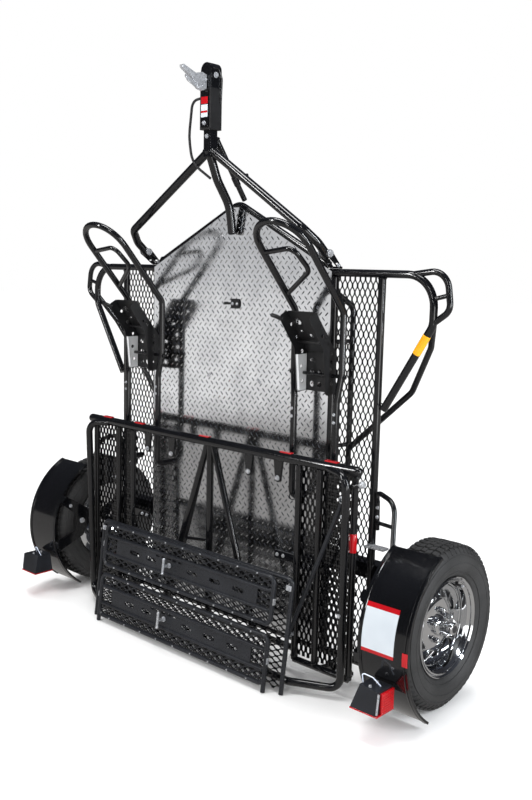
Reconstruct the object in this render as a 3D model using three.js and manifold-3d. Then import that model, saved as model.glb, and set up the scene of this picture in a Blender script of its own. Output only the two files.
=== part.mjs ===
// Stand-up motorcycle trailer, stored on end: front frame upright with the tongue on top,
// rear frame folded against it, loading ramps racked on the outside of the rear frame.
// Millimetres, +Z up, +X to the right wheel, the loading side of the front frame faces -Y.
// Parts are laid out from the ground point under the middle of the axle; the finished group is then moved
// so that the loading face of the deck stands in the plane Y = 0.

import * as THREE from 'three';
import * as BufferGeometryUtils from 'three/addons/utils/BufferGeometryUtils.js';
import Module from 'manifold-3d';

const wasm = await Module();
wasm.setup();

// ---------------------------------------------------------------- driving dimensions
const GAP = 0.4; // clearance left where two separate pieces meet
const SIDES = 9; // facets round an ordinary tube
const BEND_STEPS = 4; // segments along a full right-angle bend

const WHEEL_RADIUS = 305;
const TYRE_WIDTH = 177;
const WHEEL_X = 979;
const RIM_RADIUS = 182;

const TUBE_R = 14.3;
const RAIL_Y = -41;
const OUTER_RAIL_X = 724;
const INNER_RAIL_X = 509;
const CROSSBAR_Z = 1560;
const LOW_BAR_Z = 72;
const RAIL_TOP_Z = CROSSBAR_Z - TUBE_R - GAP;
const RAIL_LOW_Z = LOW_BAR_Z + TUBE_R + GAP;
const BOW_X = 945;

const DECK_Y = -60.5; // loading face of the tread plate
const DECK_T = 4;
const DECK_HALF = 487;
const DECK_EAVE_Z = 1578;
const DECK_PEAK_Z = 1832;

const CHOCK_X = 500;
const CHOCK_HALF = 116;
const CHOCK_R = 13;
const CHOCK_BEND = 34;
const CHOCK_TOP = { y: -402, z: 1733 };
const CHOCK_FOOT_Z = 690;
const CRADLE_PIN = { y: -120, z: 1180, r: 7 };

const TONGUE_PIN = { x: 510, y: -106, z: 1630 };
const POST_Y = -212;
const POST_FOOT_Z = 2030;
const COUPLER_LOW_Z = 2098;
const COUPLER_TOP_Z = 2350;

const FOLD_Y = -118;
const FOLD_Z = 55;
const HINGE_X = 620;

const BUMPER_Y = -205;
const BUMPER_Z = 861;
const BUMPER_R = 19;
const BUMPER_HALF = 786;
const REAR_Y = -195;
const REAR_TUBE_R = 13;
const REAR_INNER_X = 487;
const REAR_MID_X = 588;
const REAR_OUTER_X = 751;
const TAB_X = 374; // inner end of the lamp-wire tab on each rear rail
const HOOP_X = 739;
const HOOP_Y = -226;
const HOOP_R = 15;

const RACK_LEAN = 7.27 * Math.PI / 180; // the ramp rack leans in towards the top
const RACK_Y = -350;
const RACK_HALF = 558;
const RACK_TOP = 434;
const RAMP_HALF = 497;

const AXLE_Z = 430;
const AXLE_Y = 22;
const AXLE_HALF = 30;
const ARM_X = 850;
const ARM_T = 34;

const FENDER_R = 336;
const FENDER_X = [892, 1097];

// ---------------------------------------------------------------- materials
function paint(color, roughness, metalness) {
  return new THREE.MeshStandardMaterial({ color, roughness, metalness });
}

const black = paint(0x0b0c0e, 0.22, 0.35);
const charcoal = paint(0x2b2c2e, 0.5, 0.3);
const alloy = paint(0xc9cbcd, 0.3, 0.9);
const chrome = paint(0xd8dadc, 0.08, 1);
const steel = paint(0xa9acb0, 0.3, 0.9);
const rubber = paint(0x1b1b1c, 0.85, 0);
const redLens = paint(0xc1121c, 0.25, 0);
const mesh = paint(0x101113, 0.4, 0.4);
const greyPlastic = paint(0x3a3f49, 0.55, 0);

// ---------------------------------------------------------------- geometry helpers
const vec = (x, y, z) => new THREE.Vector3(x, y, z);

/**
 * A path of straight runs joined by round bends, sampled only where it turns.
 * The bend radius is a number, or a function that gives the radius at each corner.
 */
class BentPath extends THREE.Curve {
  constructor(points, bendRadius) {
    super();
    const radiusAt = typeof bendRadius === 'function' ? bendRadius : () => bendRadius;
    this.stations = [];
    this.add(points[0], points[1].clone().sub(points[0]).normalize());
    for (let i = 1; i < points.length - 1; i++) {
      this.bend(points[i - 1], points[i], points[i + 1], radiusAt(points[i]));
    }
    const last = points.length - 1;
    this.add(points[last], points[last].clone().sub(points[last - 1]).normalize());
    this.count = this.stations.length - 1;
  }

  add(point, tangent) {
    this.stations.push({ point: point.clone(), tangent: tangent.clone() });
  }

  bend(before, corner, after, radius) {
    const inward = corner.clone().sub(before).normalize();
    const outward = after.clone().sub(corner).normalize();
    const turn = inward.angleTo(outward);
    const setback = radius * Math.tan(turn / 2);
    const start = corner.clone().addScaledVector(inward, -setback);
    const side = outward.clone().addScaledVector(inward, -inward.dot(outward)).normalize();
    const steps = Math.max(1, Math.round(BEND_STEPS * turn / (Math.PI / 2)));
    for (let k = 0; k <= steps; k++) {
      const a = turn * k / steps;
      const point = start.clone()
        .addScaledVector(inward, radius * Math.sin(a))
        .addScaledVector(side, radius * (1 - Math.cos(a)));
      const tangent = inward.clone().multiplyScalar(Math.cos(a)).addScaledVector(side, Math.sin(a));
      this.add(point, tangent);
    }
  }

  getPoint(u) {
    return this.stations[Math.round(u * this.count)].point.clone();
  }

  getPointAt(u) {
    return this.getPoint(u);
  }

  getTangentAt(u) {
    return this.stations[Math.round(u * this.count)].tangent.clone();
  }
}

function roundShape(radius, sides) {
  const shape = new THREE.Shape();
  for (let i = 0; i < sides; i++) {
    const a = 2 * Math.PI * (i + 0.5) / sides;
    const corner = [radius * Math.cos(a), radius * Math.sin(a)];
    if (i === 0) shape.moveTo(...corner);
    else shape.lineTo(...corner);
  }
  return shape;
}

/** Round bar bent through the given corner points. */
function tube(points, radius = TUBE_R, bendRadius = 50, sides = SIDES) {
  const path = new BentPath(points, bendRadius);
  return new THREE.ExtrudeGeometry(roundShape(radius, sides), { steps: path.count, extrudePath: path });
}

const rod = (a, b, radius, sides = SIDES) => tube([a, b], radius, 1, sides);

function box(x0, x1, y0, y1, z0, z1) {
  return new THREE.BoxGeometry(x1 - x0, y1 - y0, z1 - z0)
    .translate((x0 + x1) / 2, (y0 + y1) / 2, (z0 + z1) / 2);
}

function polygon(points) {
  const shape = new THREE.Shape();
  shape.setFromPoints(points.map(([a, b]) => new THREE.Vector2(a, b)));
  return shape;
}

/** Plate cut to an outline in X and Z, its front face at y and its back at y + thickness. */
function platePanel(shape, y, thickness) {
  return new THREE.ExtrudeGeometry(shape, { depth: thickness, bevelEnabled: false, curveSegments: 6 })
    .rotateX(Math.PI / 2)
    .translate(0, y + thickness, 0);
}

/** Plate cut to an outline in Y and Z, running from x to x + thickness. */
function sidePlate(shape, x, thickness) {
  return new THREE.ExtrudeGeometry(shape, { depth: thickness, bevelEnabled: false, curveSegments: 6 })
    .rotateY(Math.PI / 2)
    .rotateX(Math.PI / 2)
    .translate(x, 0, 0);
}

function toManifold(geometry) {
  const bare = geometry.clone();
  bare.deleteAttribute('normal');
  bare.deleteAttribute('uv');
  const merged = BufferGeometryUtils.mergeVertices(bare, 1e-4);
  return new wasm.Manifold(new wasm.Mesh({
    numProp: 3,
    vertProperties: new Float32Array(merged.attributes.position.array),
    triVerts: new Uint32Array(merged.index.array),
  }));
}

function fromManifold(solid) {
  const data = solid.getMesh();
  const geometry = new THREE.BufferGeometry();
  geometry.setAttribute('position', new THREE.BufferAttribute(data.vertProperties, 3));
  geometry.setIndex(new THREE.BufferAttribute(data.triVerts, 1));
  const flat = geometry.toNonIndexed();
  flat.computeVertexNormals();
  return flat;
}

const join = (...parts) => fromManifold(parts.map(toManifold).reduce((a, b) => a.add(b)));
const cut = (body, ...tools) => fromManifold(
  tools.map(toManifold).reduce((a, b) => a.subtract(b), toManifold(body)));
const flipX = (points, side) => points.map((p) => vec(p.x * side, p.y, p.z));

const trailer = new THREE.Group();
trailer.name = 'stand_up_trailer';
trailer.position.y = -DECK_Y;

function addPiece(name, geometry, material, parent = trailer) {
  const piece = new THREE.Mesh(geometry, material);
  piece.name = name;
  parent.add(piece);
  return piece;
}

/** Flat expanded-metal panel: a sheet in X and Z with rows of diamond openings. */
function diamondSheet(x0, x1, z0, z1, columns, rows) {
  const shape = polygon([[x0, z0], [x1, z0], [x1, z1], [x0, z1]]);
  const pitchX = (x1 - x0) / columns;
  const pitchZ = (z1 - z0) / rows;
  const halfX = pitchX * 0.4;
  const halfZ = pitchZ * 0.42;
  for (let i = 0; i < columns; i++) {
    for (let k = 0; k < rows; k++) {
      const cx = x0 + pitchX * (i + 0.5);
      const cz = z0 + pitchZ * (k + 0.5);
      shape.holes.push(polygon([[cx - halfX, cz], [cx, cz - halfZ], [cx + halfX, cz], [cx, cz + halfZ]]));
    }
  }
  return shape;
}

// ---------------------------------------------------------------- front frame
const bowPoints = [
  vec(-751.2, RAIL_Y, 1067), vec(-BOW_X, RAIL_Y, 1385), vec(-BOW_X, RAIL_Y, CROSSBAR_Z),
  vec(BOW_X, RAIL_Y, CROSSBAR_Z), vec(BOW_X, RAIL_Y, 1385), vec(751.2, RAIL_Y, 1067),
];
addPiece('front_bow_tube', tube(bowPoints, TUBE_R, 95), black);

function innerTruss(side) {
  const chord = tube(flipX([
    vec(INNER_RAIL_X, RAIL_Y, 1490), vec(534, 45, 1430), vec(534, 45, 580), vec(INNER_RAIL_X, RAIL_Y, 520),
  ], side), 11, 40, 8);
  const ties = [1300, 895, 640].map((z) => rod(
    vec(side * INNER_RAIL_X, RAIL_Y, z), vec(side * 534, 45, z), 8, 8));
  const rail = rod(
    vec(side * INNER_RAIL_X, RAIL_Y, RAIL_LOW_Z), vec(side * INNER_RAIL_X, RAIL_Y, RAIL_TOP_Z), TUBE_R);
  return join(rail, chord, ...ties);
}

function sideHoop(side) {
  const ring = tube(flipX([
    vec(866, RAIL_Y, 1588), vec(1006, RAIL_Y, 1562), vec(1006, RAIL_Y, 1400), vec(971, RAIL_Y, 1366),
  ], side), 11, 62);
  const rung = rod(vec(side * (BOW_X + TUBE_R + GAP), RAIL_Y, 1478), vec(side * 1006, RAIL_Y, 1498), 8, 8);
  return join(ring, rung);
}

function backStrut(side) {
  return tube(flipX([
    vec(944, RAIL_Y + TUBE_R + 12, 1400), vec(894, 35, 1301), vec(790, 84, 1125), vec(562, 47, 901),
  ], side), 11, 60);
}

const side = { left: -1, right: 1 };
for (const [name, s] of Object.entries(side)) {
  addPiece(`outer_rail_${name}`, rod(
    vec(s * OUTER_RAIL_X, RAIL_Y, RAIL_LOW_Z), vec(s * OUTER_RAIL_X, RAIL_Y, RAIL_TOP_Z), TUBE_R), black);
  addPiece(`inner_truss_${name}`, innerTruss(s), black);
  addPiece(`side_hoop_${name}`, sideHoop(s), black);
  addPiece(`back_strut_${name}`, backStrut(s), black);
  const inner = INNER_RAIL_X + TUBE_R + GAP;
  const outer = OUTER_RAIL_X - TUBE_R - GAP;
  const [x0, x1] = s > 0 ? [inner, outer] : [-outer, -inner];
  addPiece(`front_mesh_${name}`, platePanel(
    diamondSheet(x0, x1, RAIL_LOW_Z + 4, RAIL_TOP_Z - 4, 3, 8), RAIL_Y - 5, 3), mesh);
}

// ---------------------------------------------------------------- deck
const deckShape = polygon([
  [-DECK_HALF, RAIL_LOW_Z], [DECK_HALF, RAIL_LOW_Z], [DECK_HALF, DECK_EAVE_Z],
  [55, DECK_PEAK_Z - 28], [20, DECK_PEAK_Z], [-20, DECK_PEAK_Z], [-55, DECK_PEAK_Z - 28],
  [-DECK_HALF, DECK_EAVE_Z],
]);
addPiece('deck_plate', platePanel(deckShape, DECK_Y, DECK_T), alloy);

const roofLow = vec(478, RAIL_Y, CROSSBAR_Z + TUBE_R + 14);
const roofTube = tube([
  vec(-roofLow.x, RAIL_Y, roofLow.z), vec(0, RAIL_Y, DECK_PEAK_Z - 4), vec(roofLow.x, RAIL_Y, roofLow.z),
], TUBE_R, 60);
addPiece('deck_bow_tube', cut(roofTube, box(-600, 600, -100, 50, 1400, CROSSBAR_Z + TUBE_R + GAP)), black);

const lowBar = rod(vec(-OUTER_RAIL_X, RAIL_Y, LOW_BAR_Z), vec(OUTER_RAIL_X, RAIL_Y, LOW_BAR_Z), TUBE_R);
const KNUCKLE_T = 8;
const BARREL_HALF = 14;
const PIN_R = 7;
function hingeCheek(x) {
  const cheek = polygon([
    [RAIL_Y, LOW_BAR_Z - 10], [RAIL_Y, LOW_BAR_Z + 10], [FOLD_Y - 4, FOLD_Z + 13], [FOLD_Y - 14, FOLD_Z + 4],
    [FOLD_Y - 14, FOLD_Z - 6], [FOLD_Y - 4, FOLD_Z - 13],
  ]);
  return sidePlate(cheek, x, KNUCKLE_T);
}
function clevis(centre) {
  const near = hingeCheek(centre - BARREL_HALF - GAP - KNUCKLE_T);
  const far = hingeCheek(centre + BARREL_HALF + GAP);
  const reach = BARREL_HALF + KNUCKLE_T;
  return [near, far, rod(vec(centre - reach, FOLD_Y, FOLD_Z), vec(centre + reach, FOLD_Y, FOLD_Z), PIN_R)];
}
addPiece('fold_hinge_bar', join(lowBar, ...clevis(-HINGE_X), ...clevis(HINGE_X)), black);

// ---------------------------------------------------------------- axle, wheels, fenders
const saddles = [-INNER_RAIL_X, INNER_RAIL_X].map((x) => box(
  x - 22, x + 22, RAIL_Y + TUBE_R + GAP, AXLE_Y, AXLE_Z - 26, AXLE_Z + 26));
const axleEnd = ARM_X - ARM_T / 2 - GAP;
const axleBeam = box(
  -axleEnd, axleEnd, AXLE_Y - AXLE_HALF, AXLE_Y + AXLE_HALF, AXLE_Z - AXLE_HALF, AXLE_Z + AXLE_HALF);
addPiece('axle_tube', join(axleBeam, ...saddles), black);

function swingArm(s) {
  const arm = sidePlate(polygon([
    [AXLE_Y - 26, AXLE_Z + 22], [AXLE_Y + 26, AXLE_Z + 22], [AXLE_Y + 26, AXLE_Z - 26],
    [24, WHEEL_RADIUS - 24], [-24, WHEEL_RADIUS - 24], [-24, WHEEL_RADIUS + 24],
  ]), s * ARM_X - ARM_T / 2, ARM_T);
  const spindle = rod(vec(s * ARM_X, 0, WHEEL_RADIUS), vec(s * (WHEEL_X + 30), 0, WHEEL_RADIUS), 14, 12);
  return join(arm, spindle);
}

/** Body of revolution about the wheel axis from radius and offset pairs, offset positive outboard. */
function wheelLathe(profile, s, segments) {
  const points = profile.map(([r, a]) => new THREE.Vector2(r, a));
  if (THREE.ShapeUtils.area(points) < 0) points.reverse();
  const turned = new THREE.LatheGeometry(points, segments);
  return turned.rotateZ(-s * Math.PI / 2).translate(s * WHEEL_X, 0, WHEEL_RADIUS);
}

const W = TYRE_WIDTH / 2;
const tyreProfile = [
  [RIM_RADIUS + 1, -56], [RIM_RADIUS + 14, -70], [228, -W], [262, -W + 6], [296, -64], [WHEEL_RADIUS, -40],
  [WHEEL_RADIUS, 40], [296, 64], [262, W - 6], [228, W], [RIM_RADIUS + 14, 70], [RIM_RADIUS + 1, 56],
  [RIM_RADIUS + 1, -56],
];
const rimProfile = [
  [36, 22], [70, 26], [104, 16], [128, -4], [158, -8], [161, 48], [178, 64], [RIM_RADIUS, 68],
  [RIM_RADIUS, 58], [RIM_RADIUS - 15, 50], [RIM_RADIUS - 15, -50], [RIM_RADIUS, -58], [RIM_RADIUS, -68],
  [158, -54], [154, -20], [124, -14], [100, 8], [36, 14], [36, 22],
];
const hubProfile = [
  [0, 92], [20, 92], [24, 88], [24, 40], [35, 38], [35, 8], [68, 8], [68, -4], [38, -6], [38, -40],
  [17, -40], [17, 36], [0, 36],
];

const LUG_CIRCLE = 57.15;
const LUG_COUNT = 5;
function hub(s) {
  const lugs = [];
  for (let i = 0; i < LUG_COUNT; i++) {
    const a = 2 * Math.PI * i / LUG_COUNT + Math.PI / 2;
    const y = LUG_CIRCLE * Math.cos(a);
    const z = WHEEL_RADIUS + LUG_CIRCLE * Math.sin(a);
    lugs.push(rod(vec(s * (WHEEL_X + 26.5), y, z), vec(s * (WHEEL_X + 48), y, z), 10, 6));
    lugs.push(rod(vec(s * (WHEEL_X - 3), y, z), vec(s * (WHEEL_X + 30), y, z), 6, 5));
  }
  return join(wheelLathe(hubProfile, s, 16), ...lugs);
}

function rim(s) {
  const holes = [];
  for (let i = 0; i < LUG_COUNT; i++) {
    const a = 2 * Math.PI * i / LUG_COUNT + Math.PI / 2;
    const y = LUG_CIRCLE * Math.cos(a);
    const z = WHEEL_RADIUS + LUG_CIRCLE * Math.sin(a);
    holes.push(rod(vec(s * (WHEEL_X - 60), y, z), vec(s * (WHEEL_X + 60), y, z), 8, 6));
  }
  return cut(wheelLathe(rimProfile, s, 28), ...holes);
}

function arcShape(inner, outer, from, to, steps) {
  const points = [];
  for (let i = 0; i <= steps; i++) {
    const a = from + (to - from) * i / steps;
    points.push([outer * Math.cos(a), WHEEL_RADIUS + outer * Math.sin(a)]);
  }
  for (let i = steps; i >= 0; i--) {
    const a = from + (to - from) * i / steps;
    points.push([inner * Math.cos(a), WHEEL_RADIUS + inner * Math.sin(a)]);
  }
  return polygon(points);
}

const STAY_ANGLES = [152, 190];
const FENDER_FROM = 116 * Math.PI / 180;
const FENDER_TO = 236 * Math.PI / 180;
function fender(s) {
  const skin = (inner, outer, x0, x1) => sidePlate(
    arcShape(inner, outer, FENDER_FROM, FENDER_TO, 14), s > 0 ? x0 : -x1, x1 - x0);
  const [x0, x1] = FENDER_X;
  const tabs = STAY_ANGLES.map((degrees) => {
    const a = degrees * Math.PI / 180;
    const tab = box(x0 - 20, x0 + 8, -FENDER_R - 3, -FENDER_R + 3, -18, 18);
    tab.rotateX(a - Math.PI).translate(0, 0, WHEEL_RADIUS);
    return s > 0 ? tab : mirrored(tab);
  });
  const stayX = x0 - 20;
  const strapX = 800;
  const strapEnd = AXLE_Y - AXLE_HALF - GAP;
  const stay = sidePlate(polygon([
    [-288, 478], [-307, 442], [-235, 385], [-235, 300], [-334, 270], [-325, 218],
    [-190, 270], [-150, 330], [-162, 400],
  ]), s > 0 ? stayX : -stayX - 4, 4);
  const cross = box(strapX, stayX + 4, -168, -162, 345, 400);
  const strap = sidePlate(polygon([
    [-168, 345], [-168, 400], [strapEnd, AXLE_Z + 24], [strapEnd, AXLE_Z - 24],
  ]), s > 0 ? strapX : -strapX - 4, 4);
  return join(
    stay,
    s > 0 ? cross : mirrored(cross),
    strap,
    ...tabs,
    skin(FENDER_R, FENDER_R + 2.5, x0, x1),
    skin(FENDER_R - 4, FENDER_R + 5, x1 - 9, x1),
    skin(FENDER_R - 4, FENDER_R + 5, x0, x0 + 9),
  );
}

function fenderGuard(s) {
  const guard = tube(flipX([
    vec(750, RAIL_Y, 722), vec(752, -58, 756), vec(850, -88, 738), vec(883, -138, 588),
  ], s), 9, 16, 8);
  const rung = rod(vec(s * 750, RAIL_Y, 640), vec(s * 868, -113, 658), 7, 8);
  return join(guard, rung, rod(vec(s * 750, RAIL_Y, 734), vec(s * 750, RAIL_Y, 620), 9, 8));
}

const LIGHT = { x0: 931, x1: 1035, y0: -424, y1: -327, z: 114, top: 192 };
const LIGHT_DRAFT = { inner: 18, frontInner: 28, frontOuter: 11 };
/** Wedge-sided lamp box: its inner and front walls lean in towards the top, the other two stand upright. */
function lightHousing(s) {
  const lamp = box(LIGHT.x0, LIGHT.x1, LIGHT.y0, LIGHT.y1, LIGHT.z, LIGHT.top);
  const at = lamp.attributes.position;
  for (let i = 0; i < at.count; i++) {
    const top = at.getZ(i) > (LIGHT.z + LIGHT.top) / 2;
    const inner = at.getX(i) < (LIGHT.x0 + LIGHT.x1) / 2;
    const front = at.getY(i) < (LIGHT.y0 + LIGHT.y1) / 2;
    if (top && front) at.setY(i, LIGHT.y0 + (inner ? LIGHT_DRAFT.frontInner : LIGHT_DRAFT.frontOuter));
    if (top && inner) at.setX(i, LIGHT.x0 + LIGHT_DRAFT.inner);
  }
  return s > 0 ? lamp : mirrored(lamp);
}

function mirrored(geometry) {
  const copy = geometry.clone().scale(-1, 1, 1);
  const index = copy.index.array;
  for (let i = 0; i < index.length; i += 3) {
    [index[i], index[i + 2]] = [index[i + 2], index[i]];
  }
  return copy;
}

function lightLens(s) {
  const under = box(LIGHT.x0 - 2, LIGHT.x1 + 8, LIGHT.y0 - 2, LIGHT.y1 + 2, LIGHT.z - 8, LIGHT.z - GAP);
  const outboard = box(LIGHT.x1 + GAP, LIGHT.x1 + 8, LIGHT.y0 + 25, LIGHT.y1, LIGHT.z - 4, LIGHT.top - 6);
  const lens = join(under, outboard);
  return s > 0 ? lens : fromManifold(toManifold(lens).mirror([1, 0, 0]));
}

for (const [name, s] of Object.entries(side)) {
  addPiece(`swing_arm_${name}`, swingArm(s), black);
  addPiece(`tyre_${name}`, wheelLathe(tyreProfile, s, 32), rubber);
  addPiece(`rim_${name}`, rim(s), chrome);
  addPiece(`hub_${name}`, hub(s), chrome);
  addPiece(`fender_${name}`, fender(s), black);
  addPiece(`fender_guard_${name}`, fenderGuard(s), black);
  addPiece(`tail_light_${name}`, lightHousing(s), greyPlastic);
  addPiece(`tail_lens_${name}`, lightLens(s), redLens);
}

// ---------------------------------------------------------------- wheel chocks
/** Round-topped guard hoop whose two feet stand on the frame either side of the wheel line. */
function chockHoop(centre) {
  const foot = 103;
  const innerSide = centre > 0 ? -1 : 1;
  const footEnd = (u) => (Math.sign(u) === innerSide ? DECK_Y - GAP : RAIL_Y - 5 - GAP);
  const points = [
    vec(-foot, footEnd(-1), CHOCK_FOOT_Z), vec(-foot, -130, CHOCK_FOOT_Z), vec(-foot, -130, 1085),
    vec(-CHOCK_HALF, -121, 1190), vec(-CHOCK_HALF, -121, 1417), vec(-CHOCK_HALF, CHOCK_TOP.y, CHOCK_TOP.z),
    vec(CHOCK_HALF, CHOCK_TOP.y, CHOCK_TOP.z), vec(CHOCK_HALF, -121, 1417), vec(CHOCK_HALF, -121, 1190),
    vec(foot, -130, 1085), vec(foot, -130, CHOCK_FOOT_Z), vec(foot, footEnd(1), CHOCK_FOOT_Z),
  ].map((p) => p.add(vec(centre, 0, 0)));
  const hook = [
    vec(-CHOCK_HALF, -330, 1652), vec(-18, -322, 1640), vec(12, -262, 1600), vec(-CHOCK_HALF, -170, 1473),
  ].map((p) => p.add(vec(centre, 0, 0)));
  const bendAt = (corner) => (corner.z === CHOCK_TOP.z ? CHOCK_HALF - 0.5 : CHOCK_BEND);
  const pinEnd = (s) => vec(centre + s * (CHOCK_HALF - 4), CRADLE_PIN.y, CRADLE_PIN.z);
  const pin = rod(pinEnd(-1), pinEnd(1), CRADLE_PIN.r, 8);
  return join(tube(points, CHOCK_R, bendAt), tube(hook, 7.5, 28, 8), pin);
}

/** Wheel cradle: a bent, perforated channel with a horn on its top corner, rocking on the hoop's cross pin. */
function chockCradle(centre) {
  const half = 72;
  const wall = 3;
  const profile = [[-98, 1112], [-160, 1112], [-176, 1276], [-262, 1392], [-226, 1418], [-98, 1262]];
  const spine = sidePlate(polygon([
    [-98, 1112], [-101, 1112], [-101, 1263], [-229, 1420], [-226, 1418], [-98, 1262],
  ]), -half, 2 * half);
  const holes = [[-30, 1142], [12, 1142], [-30, 1192], [12, 1192]].map(([u, z]) => rod(
    vec(u, -140, z), vec(u, -60, z), 12, 10));
  const eye = rod(vec(-38, -250, 1340), vec(-38, -170, 1412), 15, 10);
  const cheeks = [-half, half - wall].map((u) => sidePlate(polygon(profile), u, wall));
  const horn = rod(vec(-half, -256, 1396), vec(-104, -262, 1398), 8, 8);
  const bore = rod(
    vec(-100, CRADLE_PIN.y, CRADLE_PIN.z), vec(100, CRADLE_PIN.y, CRADLE_PIN.z), CRADLE_PIN.r + 1, 10);
  return cut(join(cut(spine, ...holes, eye), ...cheeks, horn), bore).translate(centre, 0, 0);
}

for (const [name, s] of Object.entries(side)) {
  addPiece(`chock_hoop_${name}`, chockHoop(s * CHOCK_X), black);
  addPiece(`chock_cradle_${name}`, chockCradle(s * CHOCK_X), charcoal);
}

// ---------------------------------------------------------------- tongue
const A_R = 16;
function tongueArm(s) {
  const arm = tube(flipX([
    vec(TONGUE_PIN.x, TONGUE_PIN.y + 15, TONGUE_PIN.z - 12), vec(TONGUE_PIN.x, -158, 1672),
    vec(478, -204, 1722), vec(-12, POST_Y, POST_FOOT_Z + 4),
  ], s), A_R, 24);
  const bore = rod(vec(s * (TONGUE_PIN.x - 60), TONGUE_PIN.y, TONGUE_PIN.z),
    vec(s * (TONGUE_PIN.x + 60), TONGUE_PIN.y, TONGUE_PIN.z), 8.6, 12);
  return cut(arm, bore);
}

function tonguePost() {
  return box(-19, 19, POST_Y - 19, POST_Y + 19, POST_FOOT_Z - 30, COUPLER_LOW_Z + 150);
}

function pivotBracket(s) {
  const foot = CROSSBAR_Z + TUBE_R + GAP;
  const cheek = polygon([
    [RAIL_Y + 12, foot + 2], [RAIL_Y - 14, foot + 2], [TONGUE_PIN.y - 14, TONGUE_PIN.z - 8],
    [TONGUE_PIN.y - 10, TONGUE_PIN.z + 10], [TONGUE_PIN.y + 4, TONGUE_PIN.z + 13],
    [TONGUE_PIN.y + 16, TONGUE_PIN.z + 6],
  ]);
  const x = s * TONGUE_PIN.x;
  const reach = A_R + 1.6;
  const plates = [x - reach - 4, x + reach].map((start) => sidePlate(cheek, start, 4));
  const base = box(x - reach - 4, x + reach + 4, RAIL_Y - 10, RAIL_Y + 12, foot, foot + 8);
  const pin = rod(vec(x - 28, TONGUE_PIN.y, TONGUE_PIN.z), vec(x + 28, TONGUE_PIN.y, TONGUE_PIN.z), 8, 10);
  return join(...plates, base, pin);
}

addPiece('tongue_a_tube', join(tongueArm(1), tongueArm(-1), tonguePost()), black);
for (const [name, s] of Object.entries(side)) {
  addPiece(`tongue_bracket_${name}`, pivotBracket(s), black);
}

function couplerBody() {
  const [half, deep] = [31, 30];
  const shell = box(-half, half, POST_Y - deep, POST_Y + deep, COUPLER_LOW_Z, COUPLER_TOP_Z - 40);
  const dome = new THREE.CylinderGeometry(half, half, 2 * deep, 16)
    .translate(0, POST_Y, COUPLER_TOP_Z - 40 + 8);
  const hollow = box(-20, 20, POST_Y - 20, POST_Y + 20, COUPLER_LOW_Z - 10, COUPLER_LOW_Z + 151);
  return cut(join(shell, dome), hollow);
}
addPiece('coupler_body', couplerBody(), charcoal);

const LATCH = { y: POST_Y - 30 - GAP - 10, z: 2296, r: 10 };
function latchLever() {
  const outline = [];
  for (let i = 0; i <= 8; i++) {
    const a = -Math.PI / 2 + Math.PI * i / 8;
    outline.push([LATCH.y + LATCH.r * Math.cos(a), LATCH.z + LATCH.r * Math.sin(a)]);
  }
  outline.push([LATCH.y - 38, LATCH.z + 15], [-350, LATCH.z + 22], [-352, LATCH.z + 14]);
  outline.push([LATCH.y - 46, LATCH.z + 3], [-322, LATCH.z - 8], [-324, LATCH.z - 16]);
  outline.push([LATCH.y - 26, LATCH.z - 18]);
  return sidePlate(polygon(outline), -10, 20);
}
addPiece('coupler_latch', latchLever(), steel);

const hornPath = [
  vec(0, POST_Y, POST_FOOT_Z - 50), vec(0, -172, 1912), vec(0, -100, 1815), vec(0, -82, 1708),
];
addPiece('horn_tube', tube(hornPath, 17.5, 90), black);
const braceTop = vec(0, POST_Y + 19 + 12, 2072);
const braceFoot = vec(0, -32, 1860);
addPiece('tongue_brace', rod(braceTop, braceFoot, 11), black);
const braceDir = braceFoot.clone().sub(braceTop).normalize();
const handleAt = braceTop.clone().addScaledVector(braceDir, 195);
const handleOut = vec(0, -braceDir.z, braceDir.y);
function braceHandle() {
  const from = handleAt.clone().addScaledVector(handleOut, 11 + GAP);
  const to = handleAt.clone().addScaledVector(handleOut, 44);
  const grip = rod(to.clone().add(vec(-26, 0, 0)), to.clone().add(vec(26, 0, 0)), 5, 8);
  return join(rod(from, to, 6, 8), grip);
}
addPiece('brace_handle', braceHandle(), charcoal);
addPiece('safety_cable', tube([
  vec(-36, POST_Y, 2236), vec(-92, -222, 2200), vec(-100, -238, 2060),
  vec(-68, -240, 1962), vec(-19.5, -180, 1936),
], 4, 40, 6), rubber);

// ---------------------------------------------------------------- rear frame, folded
addPiece('bumper_tube', new THREE.CapsuleGeometry(BUMPER_R, 2 * (BUMPER_HALF - BUMPER_R), 5, 14)
  .rotateZ(Math.PI / 2).translate(0, BUMPER_Y, BUMPER_Z), black);

const hoopTop = BUMPER_Z - BUMPER_R - HOOP_R - GAP;
function hoopHalf(s) {
  return tube(flipX([
    vec(-2, -312, 42), vec(560, -312, 42), vec(HOOP_X, HOOP_Y, 42), vec(HOOP_X, HOOP_Y, hoopTop),
    vec(-2, HOOP_Y, hoopTop),
  ], s), HOOP_R, 46);
}
addPiece('rear_hoop_tube', join(hoopHalf(1), hoopHalf(-1)), black);

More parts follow.
